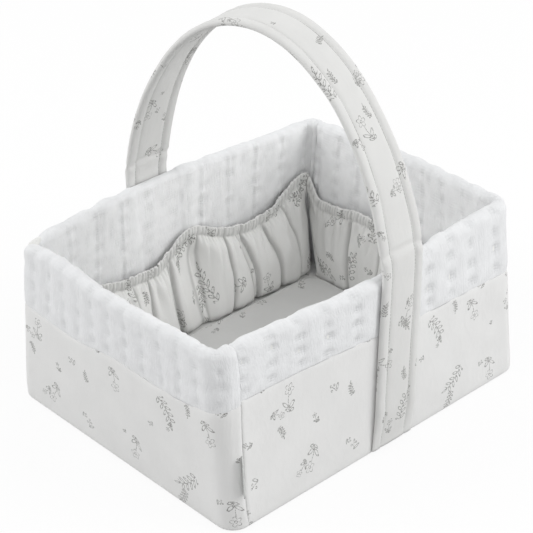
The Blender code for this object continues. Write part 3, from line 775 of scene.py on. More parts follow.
def pocket(side, finish, seed):
    """Gathered cloth: up the front, over the header and down behind it to the header's stitches."""
    half = float(straight_half(side, 0.12))
    places = lines(-half, half, POCKET_STEP)[::-1]
    measured = np.full(len(places), POCKET_MEASURE_PART)
    columns = lengths(pocket_surface(side, places, measured, seed))
    parts = np.concatenate((
        np.linspace(0, 0.84, 30)[:-1],
        np.linspace(0.84, 1, 14)[:-1],
        np.linspace(1, 2, 6)[:-1],
        np.linspace(2, 3, 5),
    ))
    rows = (0.092 - POCKET_FOOT_HEIGHT) * np.minimum(parts, 1) + 0.003 * np.clip(parts - 1, 0, 1)
    rows = rows + HEADER_HEIGHT * np.clip(parts - 2, 0, 1)

    def shape(x, y):
        return pocket_surface(side, np.interp(x, columns, places), np.interp(y, rows, parts), seed)

    # Painted shade: dark in the creases and in the gaps between the header's ruffles.
    def hollow_shade(x, y):
        along = np.interp(x, columns, places)
        part = np.interp(y, rows, parts)
        crease = pocket_folds(side, along, np.minimum(part / 0.89, 1), seed)[1] * (part < 0.88)
        ruffle = 1 - header_ruffles(along, np.clip((part - 0.89) / 0.11, 0, 1), seed)
        return np.maximum(crease, 1.1 * ruffle * smooth(part, 0.86, 0.90) * (part < 1.4))

    made = cut(f"{side}_gathered_pocket", columns, rows, shape, finish, hollow_shade)
    thicken(made, JERSEY_THICKNESS)
    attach(made, "basket")
    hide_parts(f"{side}_pocket")


def elastic(side, finish, seed):
    """The elastic in the header's tunnel."""
    half = float(straight_half(side, 0.12)) - ELASTIC_END_GAP
    columns = lines(-half, half, ELASTIC_STEP)
    rows = lines(0, ELASTIC_WIDTH, ELASTIC_WIDTH / 2)

    def shape(x, y):
        height = curve(x, pocket_sizes(side)[2]) - ELASTIC_DROP - y
        gap = pocket_gap(side, x, np.ones(len(x)), seed) + CASING_DEPTH / 2
        out = reach(side, height) + bow(side, x / straight_half(side, height), height)
        return put(side, x, out - WALL_THICKNESS - gap, height)

    band = cut(f"{side}_elastic", columns, rows, shape, finish)
    apply(band, "SOLIDIFY", thickness=ELASTIC_THICKNESS, offset=0)
    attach(band, "basket")
    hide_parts(f"{side}_pocket_elastic")


# Loose floor insert

INSERT_STEP = 0.0035
INSERT_CORNER_RADIUS = 0.022
INSERT_ROLL = 0.006
INSERT_ROLL_SHARE = 0.92
INSERT_CROWN = 0.0007
INSERT_WAVE = 0.00035


def padded_insert(finish, seed):
    """A padded floor with rolled edges and a faint crown."""
    low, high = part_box("insert_cover")
    thickness = high.z - low.z
    radius = INSERT_CORNER_RADIUS
    columns = lines(-high.x, high.x, INSERT_STEP)
    rows = lines(-high.y, high.y, INSERT_STEP)

    def shape(x, y):
        px, py = rounded_place(x, y, high.x, high.y, radius)
        return np.stack((px, py, np.full(len(x), high.z)), axis=1)

    pad = cut("floor_insert", columns, rows, shape, finish)
    thicken(pad, thickness)
    mesh = pad.data
    flat = np.empty(len(mesh.vertices) * 3)
    mesh.vertices.foreach_get("co", flat)
    points = flat.reshape(-1, 3)
    x = points[:, 0]
    y = points[:, 1]
    over_x = np.abs(x) - (high.x - radius)
    over_y = np.abs(y) - (high.y - radius)
    edge = np.minimum(high.x - np.abs(x), high.y - np.abs(y))
    corner = radius - np.hypot(np.maximum(over_x, 0), np.maximum(over_y, 0))
    edge = np.where((over_x > 0) & (over_y > 0), corner, edge)
    share = np.clip(edge / INSERT_ROLL, 0, 1)
    round_off = 1 - np.sqrt(np.maximum(1 - (1 - share) ** 2, 0))
    is_top = points[:, 2] > (low.z + high.z) / 2
    top = high.z - INSERT_CROWN + INSERT_CROWN * smooth(edge, 0, 0.05)
    top += INSERT_WAVE * ripple(x / 0.05, y / 0.04, seed) * smooth(edge, 0.004, 0.02)
    top -= (thickness / 2) * round_off * INSERT_ROLL_SHARE
    bottom = low.z + (thickness / 2) * round_off * INSERT_ROLL_SHARE
    points[:, 2] = np.where(is_top, np.minimum(top, high.z), bottom)
    mesh.vertices.foreach_set("co", points.astype(np.float32).ravel())
    mesh.update()
    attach(pad, "insert")
    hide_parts("insert_cover")


# Strap

STRAP_STEP = 0.0025
VALLEY_SHARE = 0.585
VALLEY_LIFT_SHARE = 0.32

# Shares of half the strap's width and of half its thickness, from one edge to the middle
STRAP_OUTLINE_SHARES = (
    (-1.0, 0.0), (-0.985, 0.42), (-0.94, 0.78), (-0.86, 0.98), (-0.75, 1.0), (-0.66, 0.84),
    (-0.615, 0.54), (-VALLEY_SHARE, VALLEY_LIFT_SHARE), (-0.56, 0.48), (-0.49, 0.70), (-0.36, 0.80),
    (-0.2, 0.85), (0.0, 0.87),
)

# The soft crease just above the rim, with a small swell below it
BEND_CREASE_HEIGHT = 0.195
BEND_CREASE_BOW = 6.0
BEND_CREASE_DEPTH = 0.62
BEND_CREASE_HALF_WIDTH = 0.0024
BEND_SWELL_SHARE = 0.3
BEND_SWELL_DROP = 0.007
BEND_SWELL_HALF_WIDTH = 0.004

# Rows of stitches, with their stops along each stitch and the grid's lines round the thread
STITCH_PITCH = 0.0034
STITCH_RADIUS = 0.00026
STITCH_END = 0.004
STITCH_STOPS = 5
STITCH_LINES = 6
STITCH_LIFT = 0.00004
STITCH_DIP = 0.00034


def arch_frame():
    off = CLEARANCE + STRAP_THICKNESS / 2
    foot = face_point("front", np.array([STRAP_SKEW]), np.array([LEG_TOP_HEIGHT]), -off)[0]
    foot[2] = 0
    length = np.linalg.norm(foot)
    towards = foot / length
    across_way = np.array((-towards[1], towards[0], 0))
    fall = (LEG_TOP_HEIGHT - ARCH_CENTRE_HEIGHT) / ARCH_RISE
    return towards, across_way, length / math.sqrt(1 - fall * fall)


def arch_point(angle, across, lift):
    """Points of the arch. Its width turns slowly from the way of the legs to its own."""
    towards, across_way, half_width = arch_frame()
    normal = np.outer(np.cos(angle) / half_width, towards) + np.outer(np.sin(angle) / ARCH_RISE, UP)
    normal /= np.linalg.norm(normal, axis=1)[:, None]
    centre = np.outer(half_width * np.cos(angle), towards)
    centre += np.outer(ARCH_CENTRE_HEIGHT + ARCH_RISE * np.sin(angle), UP)
    from_leg = np.minimum(angle, math.pi - angle) - ARCH_START_ANGLE
    turned = smooth(from_leg, 0, ARCH_TURN_REACH)[:, None]
    width_way = lerp(SIDES["front"][0], across_way, turned)
    return centre + across[:, None] * width_way + normal * lift[:, None]


def leg_point(height, across, lift):
    skew = strap_skew(np.minimum(height, LEG_TOP_HEIGHT))
    pressed = lerp(STRAP_FOOT_SHARE, 1, smooth(height, STRAP_FOOT_HEIGHT, STRAP_FULL_HEIGHT))
    off = CLEARANCE + (STRAP_THICKNESS / 2 + lift) * pressed
    return face_point("front", skew + across, height, -off)


def strap_route():
    """Heights up the front leg, angles over the arch and heights down the back leg."""
    legs = lines(STRAP_FOOT_HEIGHT, PIVOT_HEIGHT, STRAP_STEP)
    arch = lines(ARCH_START_ANGLE, math.pi - ARCH_START_ANGLE, STRAP_STEP / ARCH_RISE)
    kinds = np.concatenate((np.zeros(len(legs) - 1), np.ones(len(arch) - 1), np.full(len(legs), 2)))
    return kinds, np.concatenate((legs[:-1], arch[:-1], legs[::-1]))


def near_leg(height, across, lift):
    """The front stretch up to the pivot, where it leaves the wall for the arch's plane."""
    share = smooth(height, LEG_TOP_HEIGHT, PIVOT_HEIGHT)[:, None]
    angle = np.arcsin(np.clip((height - ARCH_CENTRE_HEIGHT) / ARCH_RISE, 0, 1))
    return lerp(leg_point(height, across, lift), arch_point(angle, across, lift), share)


def strap_point(route, index, across, lift):
    """Points at fractional stops along the route."""
    kinds, values = route

    def at(which):
        kind = kinds[which]
        value = values[which]
        from_crease = value - BEND_CREASE_HEIGHT + BEND_CREASE_BOW * across**2
        swell = bell(from_crease + BEND_SWELL_DROP, BEND_SWELL_HALF_WIDTH)
        crease = bell(from_crease, BEND_CREASE_HALF_WIDTH) - BEND_SWELL_SHARE * swell
        drawn_in = lift * (1 - BEND_CREASE_DEPTH * crease * (kind != 1))
        front = near_leg(value, across, drawn_in)
        back = near_leg(value, -across, drawn_in) * np.array((-1, -1, 1))
        points = np.where((kind == 0)[:, None], front, arch_point(value, across, lift))
        return np.where((kind == 2)[:, None], back, points)

    low = np.clip(np.floor(index).astype(int), 0, len(kinds) - 1)
    high = np.minimum(low + 1, len(kinds) - 1)
    return lerp(at(low), at(high), (index - low)[:, None])


def strap_outline():
    """(across, lift) points once round the strap, starting at one edge."""
    left = [(a * STRAP_WIDTH / 2, b * STRAP_THICKNESS / 2) for a, b in STRAP_OUTLINE_SHARES]
    right = [(-a, b) for a, b in left[-2::-1]]
    top = left + right
    under = [(a, -b) for a, b in top[-2:0:-1]]
    return np.array(top + under + [top[0]])


def strap_rows(route):
    """The length along the strap's middle at each stop."""
    count = len(route[0])
    middle = np.zeros(count)
    return lengths(strap_point(route, np.arange(count, dtype=float), middle, middle))


def strap_wobble(across, y, seed):
    """Uneven rolls and a slack middle: how much the strap's thickness grows there."""
    edge = smooth(np.abs(across), STRAP_WIDTH * 0.25, STRAP_WIDTH * 0.33)
    rolls = ripple(y / 0.0065, np.sign(across) * 3 + 7, seed) * edge
    slack = ripple(across / 0.02 + 9, y / 0.03, seed + 1) * (1 - edge)
    return 1 + 0.06 * rolls + 0.08 * slack


def bend_with_handle(piece):
    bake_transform(piece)


def close_ends(piece):
    """Joins a tube's long seam and fills its two ends."""
    unselect()
    piece.select_set(True)
    bpy.context.view_layer.objects.active = piece
    bpy.ops.object.mode_set(mode="EDIT")
    bpy.ops.mesh.select_all(action="SELECT")
    bpy.ops.mesh.remove_doubles(threshold=1e-6)
    bpy.ops.mesh.select_all(action="DESELECT")
    bpy.ops.mesh.select_mode(type="EDGE")
    bpy.ops.mesh.select_non_manifold(extend=False, use_wire=False, use_boundary=True,
                                     use_multi_face=False, use_non_contiguous=False,
                                     use_verts=False)
    bpy.ops.mesh.fill()
    bpy.ops.mesh.select_all(action="SELECT")
    bpy.ops.mesh.normals_make_consistent(inside=False)
    bpy.ops.mesh.select_mode(type="VERT")
    bpy.ops.object.mode_set(mode="OBJECT")


def strap(finish, seed):
    """One tube of jersey with rolled edges and two sewn valleys, from foot to foot."""
    route = strap_route()
    stops = np.arange(len(route[0]), dtype=float)
    rows = strap_rows(route)
    outline = strap_outline()
    columns = lengths(outline)

    def shape(x, y):
        across = np.interp(x, columns, outline[:, 0])
        lift = np.interp(x, columns, outline[:, 1])
        grow = strap_wobble(across, y, seed)
        grow = np.where(lift < 0, np.minimum(grow, 1.0), grow)
        sway = 0.0004 * ripple(y / 0.03, np.sign(across) * 2 + 3, seed + 2)
        across = across + sway * smooth(np.abs(across), 0.002, 0.02)
        return strap_point(route, np.interp(y, rows, stops), across, lift * grow)

    made = cut("carrying_strap", columns, rows, shape, finish)
    close_ends(made)
    bend_with_handle(made)
    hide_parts("strap_front_leg", "strap_back_leg", "strap_front_leg_core",
                "strap_back_leg_core", "strap_front_fold", "strap_back_fold", "handle_cover",
                "handle_core")


def topstitch(name, side_of, face, finish):
    """One row of stitches in a valley of the strap: a thread that dips in and out of the cloth."""
    route = strap_route()
    stops = np.arange(len(route[0]), dtype=float)
    along = strap_rows(route)
    count = int(along[-1] / STITCH_PITCH)
    rows = np.linspace(STITCH_END, along[-1] - STITCH_END, count * STITCH_STOPS + 1)
    columns = np.linspace(0, 2 * math.pi * STITCH_RADIUS, STITCH_LINES)

    def shape(x, y):
        turn = x / STITCH_RADIUS
        dip = np.cos(2 * math.pi * ((y - STITCH_END) / STITCH_PITCH))
        valley = VALLEY_LIFT_SHARE * STRAP_THICKNESS / 2 + STITCH_LIFT
        low = valley + STITCH_DIP * np.minimum(dip + 0.55, 0.25)
        across = side_of * VALLEY_SHARE * STRAP_WIDTH / 2 + STITCH_RADIUS * np.cos(turn)
        lift = face * (low + STITCH_RADIUS * 0.8 * np.sin(turn))
        return strap_point(route, np.interp(y, along, stops), across, lift)

    thread = cut(name, columns, rows, shape, finish)
    close_ends(thread)
    bend_with_handle(thread)


# Tab in the near seam

TAB_REACH = 0.0095
TAB_SINK = 0.0006
TAB_THICKNESS = 0.0009

# How far the tape curls out of its plane, and how fast that changes along it, in radians a metre
TAB_CURL = 0.0005
TAB_CURL_RATE = 60


def label_tab(finish):
    """A folded tape that stands out of the near seam and is seen on its edge."""
    low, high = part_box("label_tab")
    columns = lines(0, high.z - low.z, 0.003)
    rows = lines(0, TAB_REACH, 0.0010)
    along_way, outward = SIDES["front"]
    slant = (outward - along_way) / math.sqrt(2)

    def shape(x, y):
        height = low.z + x
        seam = seam_shift("left", height) - half_round("front", height)
        start = wall_point("front", seam, height, np.full(len(x), TAB_SINK))
        curl = TAB_CURL * np.sin(math.pi * y / TAB_REACH) * np.cos(x * TAB_CURL_RATE)
        return start + np.outer(y, slant) + np.outer(curl, outward + along_way)

    tab = cut("blank_tab", columns, rows, shape, finish)
    apply(tab, "SOLIDIFY", thickness=TAB_THICKNESS, offset=0)
    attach(tab, "basket")
    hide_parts("label_tab")


# Shader nodes


class Pen:
    """Adds nodes to a tree and links them."""

    def __init__(self, tree):
        self.tree = tree

    def node(self, kind, **settings):
        made = self.tree.nodes.new(kind)
        for name, value in settings.items():
            setattr(made, name, value)
        return made

    def feed(self, socket, value):
        if isinstance(value, bpy.types.NodeSocket):
            self.tree.links.new(value, socket)
        elif value is not None:
            socket.default_value = value

    def fed(self, kind, values, **settings):
        """A node whose first inputs get the values."""
        made = self.node(kind, **settings)
        for socket, value in zip(made.inputs, values):
            self.feed(socket, value)
        return made

    def math(self, operation, *values, clamp=False):
        return self.fed("ShaderNodeMath", values, operation=operation, use_clamp=clamp).outputs[0]

    def plus(self, first, second):
        return self.math("ADD", first, second)

    def minus(self, first, second):
        return self.math("SUBTRACT", first, second)

    def times(self, first, second, clamp=False):
        return self.math("MULTIPLY", first, second, clamp=clamp)

    def over(self, first, second):
        return self.math("DIVIDE", first, second)

    def square(self, value):
        return self.math("MULTIPLY", value, value)

    def bare(self, value):
        """The value without its sign."""
        return self.math("ABSOLUTE", value)

    def least(self, *values):
        found = values[0]
        for value in values[1:]:
            found = self.math("MINIMUM", found, value)
        return found

    def length(self, x, y):
        return self.math("SQRT", self.plus(self.square(x), self.square(y)))

    def split(self, vector):
        return self.fed("ShaderNodeSeparateXYZ", (vector,)).outputs

    def join(self, x, y, z=0.0):
        return self.fed("ShaderNodeCombineXYZ", (x, y, z)).outputs[0]

    def shift(self, vector, by):
        made = self.fed("ShaderNodeVectorMath", (vector, by), operation="ADD")
        return made.outputs["Vector"]

    def noise(self, vector, scale, detail=2.0, roughness=0.5):
        made = self.node("ShaderNodeTexNoise")
        self.feed(made.inputs["Vector"], vector)
        self.feed(made.inputs["Scale"], scale)
        self.feed(made.inputs["Detail"], detail)
        self.feed(made.inputs["Roughness"], roughness)
        return made.outputs["Fac"]

    def random(self, vector):
        made = self.node("ShaderNodeTexWhiteNoise", noise_dimensions="3D")
        self.feed(made.inputs["Vector"], vector)
        return made.outputs["Value"], made.outputs["Color"]

    def span(self, value, low, high, to_low=0.0, to_high=1.0):
        values = (value, low, high, to_low, to_high)
        return self.fed("ShaderNodeMapRange", values, interpolation_type="SMOOTHSTEP").outputs[0]

    def mix(self, factor, first, second):
        made = self.node("ShaderNodeMix", data_type="RGBA")
        self.feed(made.inputs["Factor"], factor)
        self.feed(made.inputs[6], first)
        self.feed(made.inputs[7], second)
        return made.outputs[2]

    def hollow_shade(self):
        return self.node("ShaderNodeAttribute", attribute_name="hollow_shade").outputs["Fac"]

    def use(self, tree, **values):
        made = self.node("ShaderNodeGroup", node_tree=tree)
        for name, value in values.items():
            self.feed(made.inputs[name], value)
        return made.outputs[0]


def group(name, inputs, output, output_kind, draw):
    """A node group with named inputs and one output. draw gets a pen and the input sockets."""
    tree = bpy.data.node_groups.new(name, "ShaderNodeTree")
    for label, (kind, value) in inputs.items():
        socket = tree.interface.new_socket(label, in_out="INPUT", socket_type=kind)
        if value is not None:
            socket.default_value = value
    tree.interface.new_socket(output, in_out="OUTPUT", socket_type=output_kind)
    pen = Pen(tree)
    given = pen.node("NodeGroupInput")
    result = pen.node("NodeGroupOutput")
    pen.feed(result.inputs[0], draw(pen, {label: given.outputs[label] for label in inputs}))
    return tree


# Print: leaf sprigs, blossoms and forks of berries, drawn by the distance to their lines in metres

SPRIG_BEND = 16.0
SPRIG_STAGGER = 0.0014
SPRIG_LEAF_PITCH = 0.0056
SPRIG_LEAVES_END = 0.0118
BLOSSOM_HEIGHT = 0.006
BLOSSOM_BEND = 22.0
PETAL_HOLLOW_RADIUS = 0.0022
PETAL_REACH = 0.0026
HEART_RADIUS = 0.0011
BERRY_PLACES = ((0.0, 0.0012), (0.0024, -0.0012), (-0.0026, -0.0024))
BERRY_RADIUS = 0.0008

# How far each row of cells is moved on and a motif is moved in its cell, as shares of a cell,
# and how much a motif's lines shake
ROW_OFFSET = 0.43
CELL_SHIFT = 0.36
HAND_SHAKE = 0.0016

# The motif that a cell gets, by spans of its chance. Past the last span it stays empty.
MOTIF_SPANS = (("sprig", 0.0, 0.36), ("blossom", 0.36, 0.74), ("berries", 0.74, 1.01))


def leaf_distance(pen, x, y, centre, tilt, half_length, half_width):
    """Distance to a leaf's outline, which is a tilted ellipse."""
    off_x = pen.minus(x, centre[0])
    off_y = pen.minus(y, centre[1])
    cosine = math.cos(tilt)
    sine = math.sin(tilt)
    along = pen.plus(pen.times(off_x, cosine), pen.times(off_y, sine))
    aside = pen.minus(pen.times(off_y, cosine), pen.times(off_x, sine))
    long_part = pen.math("POWER", pen.bare(pen.over(along, half_length)), 2.0)
    wide_part = pen.math("POWER", pen.bare(pen.over(aside, half_width)), 2.0)
    ring = pen.math("SQRT", pen.plus(long_part, wide_part))
    return pen.times(pen.bare(pen.minus(ring, 1.0)), half_width)


def bar_distance(pen, x, y, half_length, middle=0.0):
    """Distance to a straight stem that runs along y."""
    beyond = pen.minus(pen.bare(pen.minus(y, middle)), half_length)
    return pen.math("MAXIMUM", pen.bare(x), beyond)


def sprig(pen, x, y):
    """A curved stem with leaves in turn on both sides and one at its tip, about 30 mm long."""
    x = pen.minus(x, pen.times(pen.square(y), SPRIG_BEND))
    stem = bar_distance(pen, x, y, half_length=0.0125)
    staggered = pen.plus(y, pen.times(pen.math("SIGN", x), SPRIG_STAGGER))
    step = pen.math("FLOORED_MODULO", staggered, SPRIG_LEAF_PITCH)
    step = pen.minus(step, SPRIG_LEAF_PITCH / 2)
    leaf = leaf_distance(pen, pen.bare(x), step, centre=(0.0030, 0.0002), tilt=0.62,
                         half_length=0.0028, half_width=0.0011)
    leaf = pen.math("MAXIMUM", leaf, pen.minus(pen.bare(y), SPRIG_LEAVES_END))
    tip = leaf_distance(pen, y, x, centre=(0.0148, 0.0), tilt=0.0, half_length=0.0024,
                        half_width=0.0009)
    return pen.least(stem, leaf, tip)


def blossom(pen, x, y):
    """A five-petalled flower on a bent stem with two leaves and two buds."""
    up = pen.minus(y, BLOSSOM_HEIGHT)
    far = pen.length(x, up)
    angle = pen.math("ARCTAN2", up, x)
    lobe = pen.bare(pen.math("COSINE", pen.times(angle, 2.5)))
    petal = pen.math("MULTIPLY_ADD", lobe, PETAL_REACH, PETAL_HOLLOW_RADIUS)
    rim = pen.bare(pen.minus(far, petal))
    heart = pen.bare(pen.minus(far, HEART_RADIUS))
    bent = pen.minus(x, pen.times(pen.square(y), BLOSSOM_BEND))
    stem = bar_distance(pen, bent, y, half_length=0.0062, middle=-0.0050)
    leaf = leaf_distance(pen, pen.bare(bent), y, centre=(0.0033, -0.0062), tilt=0.75,
                         half_length=0.0034, half_width=0.0013)
    bud = leaf_distance(pen, pen.bare(bent), y, centre=(0.0022, -0.0108), tilt=0.5,
                        half_length=0.0020, half_width=0.0009)
    return pen.least(rim, heart, stem, leaf, bud)


def berries(pen, x, y):
    """Three open dots on a fork, with a leaf."""
    found = bar_distance(pen, x, y, half_length=0.0030, middle=-0.0032)
    for place in BERRY_PLACES:
        far = pen.length(pen.minus(x, place[0]), pen.minus(y, place[1]))
        found = pen.least(found, pen.bare(pen.minus(far, BERRY_RADIUS)))
    leaf = leaf_distance(pen, x, y, centre=(0.0028, -0.0052), tilt=0.5, half_length=0.0027,
                         half_width=0.0010)
    return pen.least(found, leaf)


MOTIFS = {"sprig": sprig, "blossom": blossom, "berries": berries}


def draw_print(pen, given):
    """One motif to a cell, turned and shifted by chance. Size scales the motifs, and Share is
    how many of the cells have one."""
    scale = pen.over(1.0, given["Cell"])
    x, y, _ = pen.split(given["Place"])
    y = pen.times(y, scale)
    row = pen.math("FLOOR", y)
    x = pen.plus(pen.times(x, scale), pen.times(row, ROW_OFFSET))
    column = pen.math("FLOOR", x)
    pick, shade = pen.random(pen.join(column, row, given["Seed"]))
    first, second, third = pen.split(shade)
    off = []
    for value, cell, chance in ((x, column, first), (y, row, second)):
        middle = pen.minus(pen.minus(value, cell), 0.5)
        moved = pen.plus(middle, pen.times(pen.minus(chance, 0.5), CELL_SHIFT))
        off.append(pen.times(moved, pen.over(given["Cell"], given["Size"])))
    turn = pen.times(third, 2 * math.pi)
    cosine = pen.math("COSINE", turn)
    sine = pen.math("SINE", turn)
    turned_x = pen.minus(pen.times(off[0], cosine), pen.times(off[1], sine))
    turned_y = pen.plus(pen.times(off[0], sine), pen.times(off[1], cosine))
    line = pen.over(given["Line"], given["Size"])
    shaky = pen.times(pen.noise(given["Place"], 420.0), HAND_SHAKE)
    turned_x = pen.plus(turned_x, pen.minus(shaky, HAND_SHAKE / 2))
    total = 0.0
    for name, low, high in MOTIF_SPANS:
        distance = MOTIFS[name](pen, turned_x, turned_y)
        ink = pen.span(distance, pen.times(line, 0.35), pen.times(line, 0.85), 1.0, 0.0)
        scaled = pen.over(pick, given["Share"])
        chosen = pen.times(pen.math("GREATER_THAN", scaled, low - 0.001),
                           pen.math("LESS_THAN", scaled, high - 0.001))
        total = pen.plus(pen.times(ink, chosen), total)
    grain = pen.noise(given["Place"], 900.0)
    return pen.times(total, pen.span(grain, 0.38, 0.58, 0.20, 1.0), clamp=True)


# Cloth surfaces


def draw_weave(pen, given):
    """Crossing threads."""
    x, y, _ = pen.split(given["Place"])
    turns = pen.over(2 * math.pi, given["Pitch"])
    warp = pen.math("SINE", pen.times(x, turns))
    weft = pen.math("SINE", pen.times(y, turns))
    return pen.math("MULTIPLY_ADD", pen.times(warp, weft), 0.5, 0.5)


def draw_knit(pen, given):
    """Columns of small stitches, as on the face of a jersey."""
    x, y, _ = pen.split(given["Place"])
    turns = pen.over(2 * math.pi, given["Pitch"])
    rib = pen.bare(pen.math("SINE", pen.times(pen.times(x, turns), 0.5)))
    slant = pen.plus(pen.times(y, turns), pen.times(rib, 2.0))
    loop = pen.math("MULTIPLY_ADD", pen.math("SINE", slant), 0.25, 0.5)
    return pen.times(rib, loop)


def draw_crinkle(pen, given):
    """Soft creases, longer one way than the other."""
    x, y, _ = pen.split(given["Place"])
    place = pen.join(pen.times(x, given["Across"]), pen.times(y, given["Along"]))
    wide = pen.noise(place, 1.0, 3.0, 0.55)
    fold = pen.minus(1.0, pen.bare(pen.math("MULTIPLY_ADD", wide, 2.0, -1.0)))
    return pen.math("POWER", fold, 2.0)


VALUE = "NodeSocketFloat"
VECTOR = "NodeSocketVector"


def make_groups():
    place = ("Place", (VECTOR, None))
    pitch = ("Pitch", (VALUE, 0.001))
    motif = (("Cell", (VALUE, 0.05)), ("Size", (VALUE, 1.0)), ("Share", (VALUE, 1.0)),
             ("Line", (VALUE, 0.0005)), ("Seed", (VALUE, 0.0)))
    creases = (("Across", (VALUE, 200.0)), ("Along", (VALUE, 60.0)))
    return {
        "print": group("sprig_print", dict((place, *motif)), "Ink", VALUE, draw_print),
        "weave": group("woven_threads", dict((place, pitch)), "Height", VALUE, draw_weave),
        "knit": group("jersey_knit", dict((place, pitch)), "Height", VALUE, draw_knit),
        "crinkle": group("soft_creases", dict((place, *creases)), "Height", VALUE, draw_crinkle),
    }


# Materials

# Printed jersey: colour, seed and cell of the print, and the share of cells with a large motif
PRINTED_CLOTHS = {
    "printed_jersey": ((0.800, 0.800, 0.793), 3.0, 0.058, 0.85),
    "pocket_jersey": ((0.845, 0.845, 0.83), 11.0, 0.052, 0.9),
    # Painted shade: the insert's jersey carries the same print, painted darker to stand in for the
    # shade on the basket's floor.
    "painted_shade_floor_jersey": ((0.665, 0.665, 0.655), 31.0, 0.060, 0.55),
    "strap_jersey": ((0.73, 0.73, 0.718), 23.0, 0.054, 0.8),
}

# Plain finishes: colour, roughness, scale of the grain and its depth
PLAIN_FINISHES = {
    "tab_tape": ((0.60, 0.61, 0.60), 0.7, 900, 0.0002),
    "stitching": ((0.46, 0.46, 0.45), 0.7, 900, 0.0001),
    "wadding": ((0.86, 0.86, 0.84), 1.0, 400, 0.0008),
    "stiff_board": ((0.60, 0.58, 0.54), 0.7, 300, 0.0002),
    "elastic": ((0.80, 0.80, 0.78), 0.8, 1200, 0.0003),
}

INK = (0.15, 0.15, 0.14, 1)
INK_STRENGTH = 0.86
MOTIF_SIZE = 1.06
MOTIF_LINE = 0.00056

# Smaller motifs between the large ones: how far their cells move, the share of the cell's size,
# the motif's size and the share of the cells with one
SMALL_MOTIFS = ((0.011, 1.0, 0.66, 0.80), (0.031, 0.66, 0.44, 0.45))
SMALL_MOTIF_LINE = 0.00052

WAFFLE_COLOUR = (0.835, 0.843, 0.853)
# Painted light: the lining is the same cloth as the outside, painted whiter to stand in for light
# on the inside walls.
LINING_PAINTED_LIGHT_COLOUR = (0.965, 0.970, 0.975, 1)
WAFFLE_PATCH_COLOUR = (0.5, 0.505, 0.51, 1)
PUCKER_PITCH = 0.0026
THREAD_PITCH = 0.0011


def shaded(colour, share):
    """The colour made darker, with its alpha."""
    return (*[part * share for part in colour], 1)


def new_material(name, colour, roughness, sheen=0.0):
    made = bpy.data.materials.new(name)
    made.use_nodes = True
    shader = made.node_tree.nodes["Principled BSDF"]
    shader.inputs["Base Color"].default_value = (*colour, 1)
    shader.inputs["Roughness"].default_value = roughness
    shader.inputs["Specular IOR Level"].default_value = 0.25
    shader.inputs["Sheen Weight"].default_value = sheen
    shader.inputs["Sheen Roughness"].default_value = 0.6
    return made, Pen(made.node_tree), shader


def bump(pen, shader, height, distance, strength, below=None):
    made = pen.node("ShaderNodeBump")
    made.inputs["Strength"].default_value = strength
    made.inputs["Distance"].default_value = distance
    pen.feed(made.inputs["Height"], height)
    pen.feed(made.inputs["Normal"], below)
    pen.feed(shader.inputs["Normal"], made.outputs["Normal"])
    return made.outputs["Normal"]


def jersey_material(name, groups, colour, seed, cell, share):
    """Printed jersey: a large motif to a cell, a middling one beside it and small scattered
    ones."""
    made, pen, shader = new_material(name, colour, 0.85, 0.15)
    place = pen.node("ShaderNodeUVMap").outputs[0]
    ink = pen.use(groups["print"], Place=place, Cell=cell, Size=MOTIF_SIZE, Share=share,
                  Line=MOTIF_LINE, Seed=seed)
    for move, wider, size, some in SMALL_MOTIFS:
        moved = pen.shift(place, (move, 0.7 * move, 0))
        more = pen.use(groups["print"], Place=moved, Cell=cell * wider, Size=size,
                       Share=share * some, Line=SMALL_MOTIF_LINE, Seed=seed + 100 * move)
        ink = pen.math("MAXIMUM", ink, more)
    patch = pen.noise(place, 28.0, 3.0)
    cloth = pen.mix(pen.span(patch, 0.3, 0.7), shaded(colour, 0.965), (*colour, 1))
    # Painted shade in the pockets' creases and between the header's ruffles, from the hollow_shade
    # attribute.
    cloth = pen.mix(pen.times(pen.hollow_shade(), 0.52, clamp=True), cloth, shaded(colour, 0.50))
    pen.feed(shader.inputs["Base Color"], pen.mix(pen.times(ink, INK_STRENGTH), cloth, INK))
    pen.feed(shader.inputs["Roughness"], pen.span(patch, 0.2, 0.8, 0.80, 0.92))
    knit = pen.use(groups["knit"], Place=place, Pitch=THREAD_PITCH)
    crease = pen.use(groups["crinkle"], Place=place, Across=70.0, Along=40.0)
    under = bump(pen, shader, crease, 0.0006, 0.35)
    bump(pen, shader, knit, 0.00018, 0.5, under)
    return made


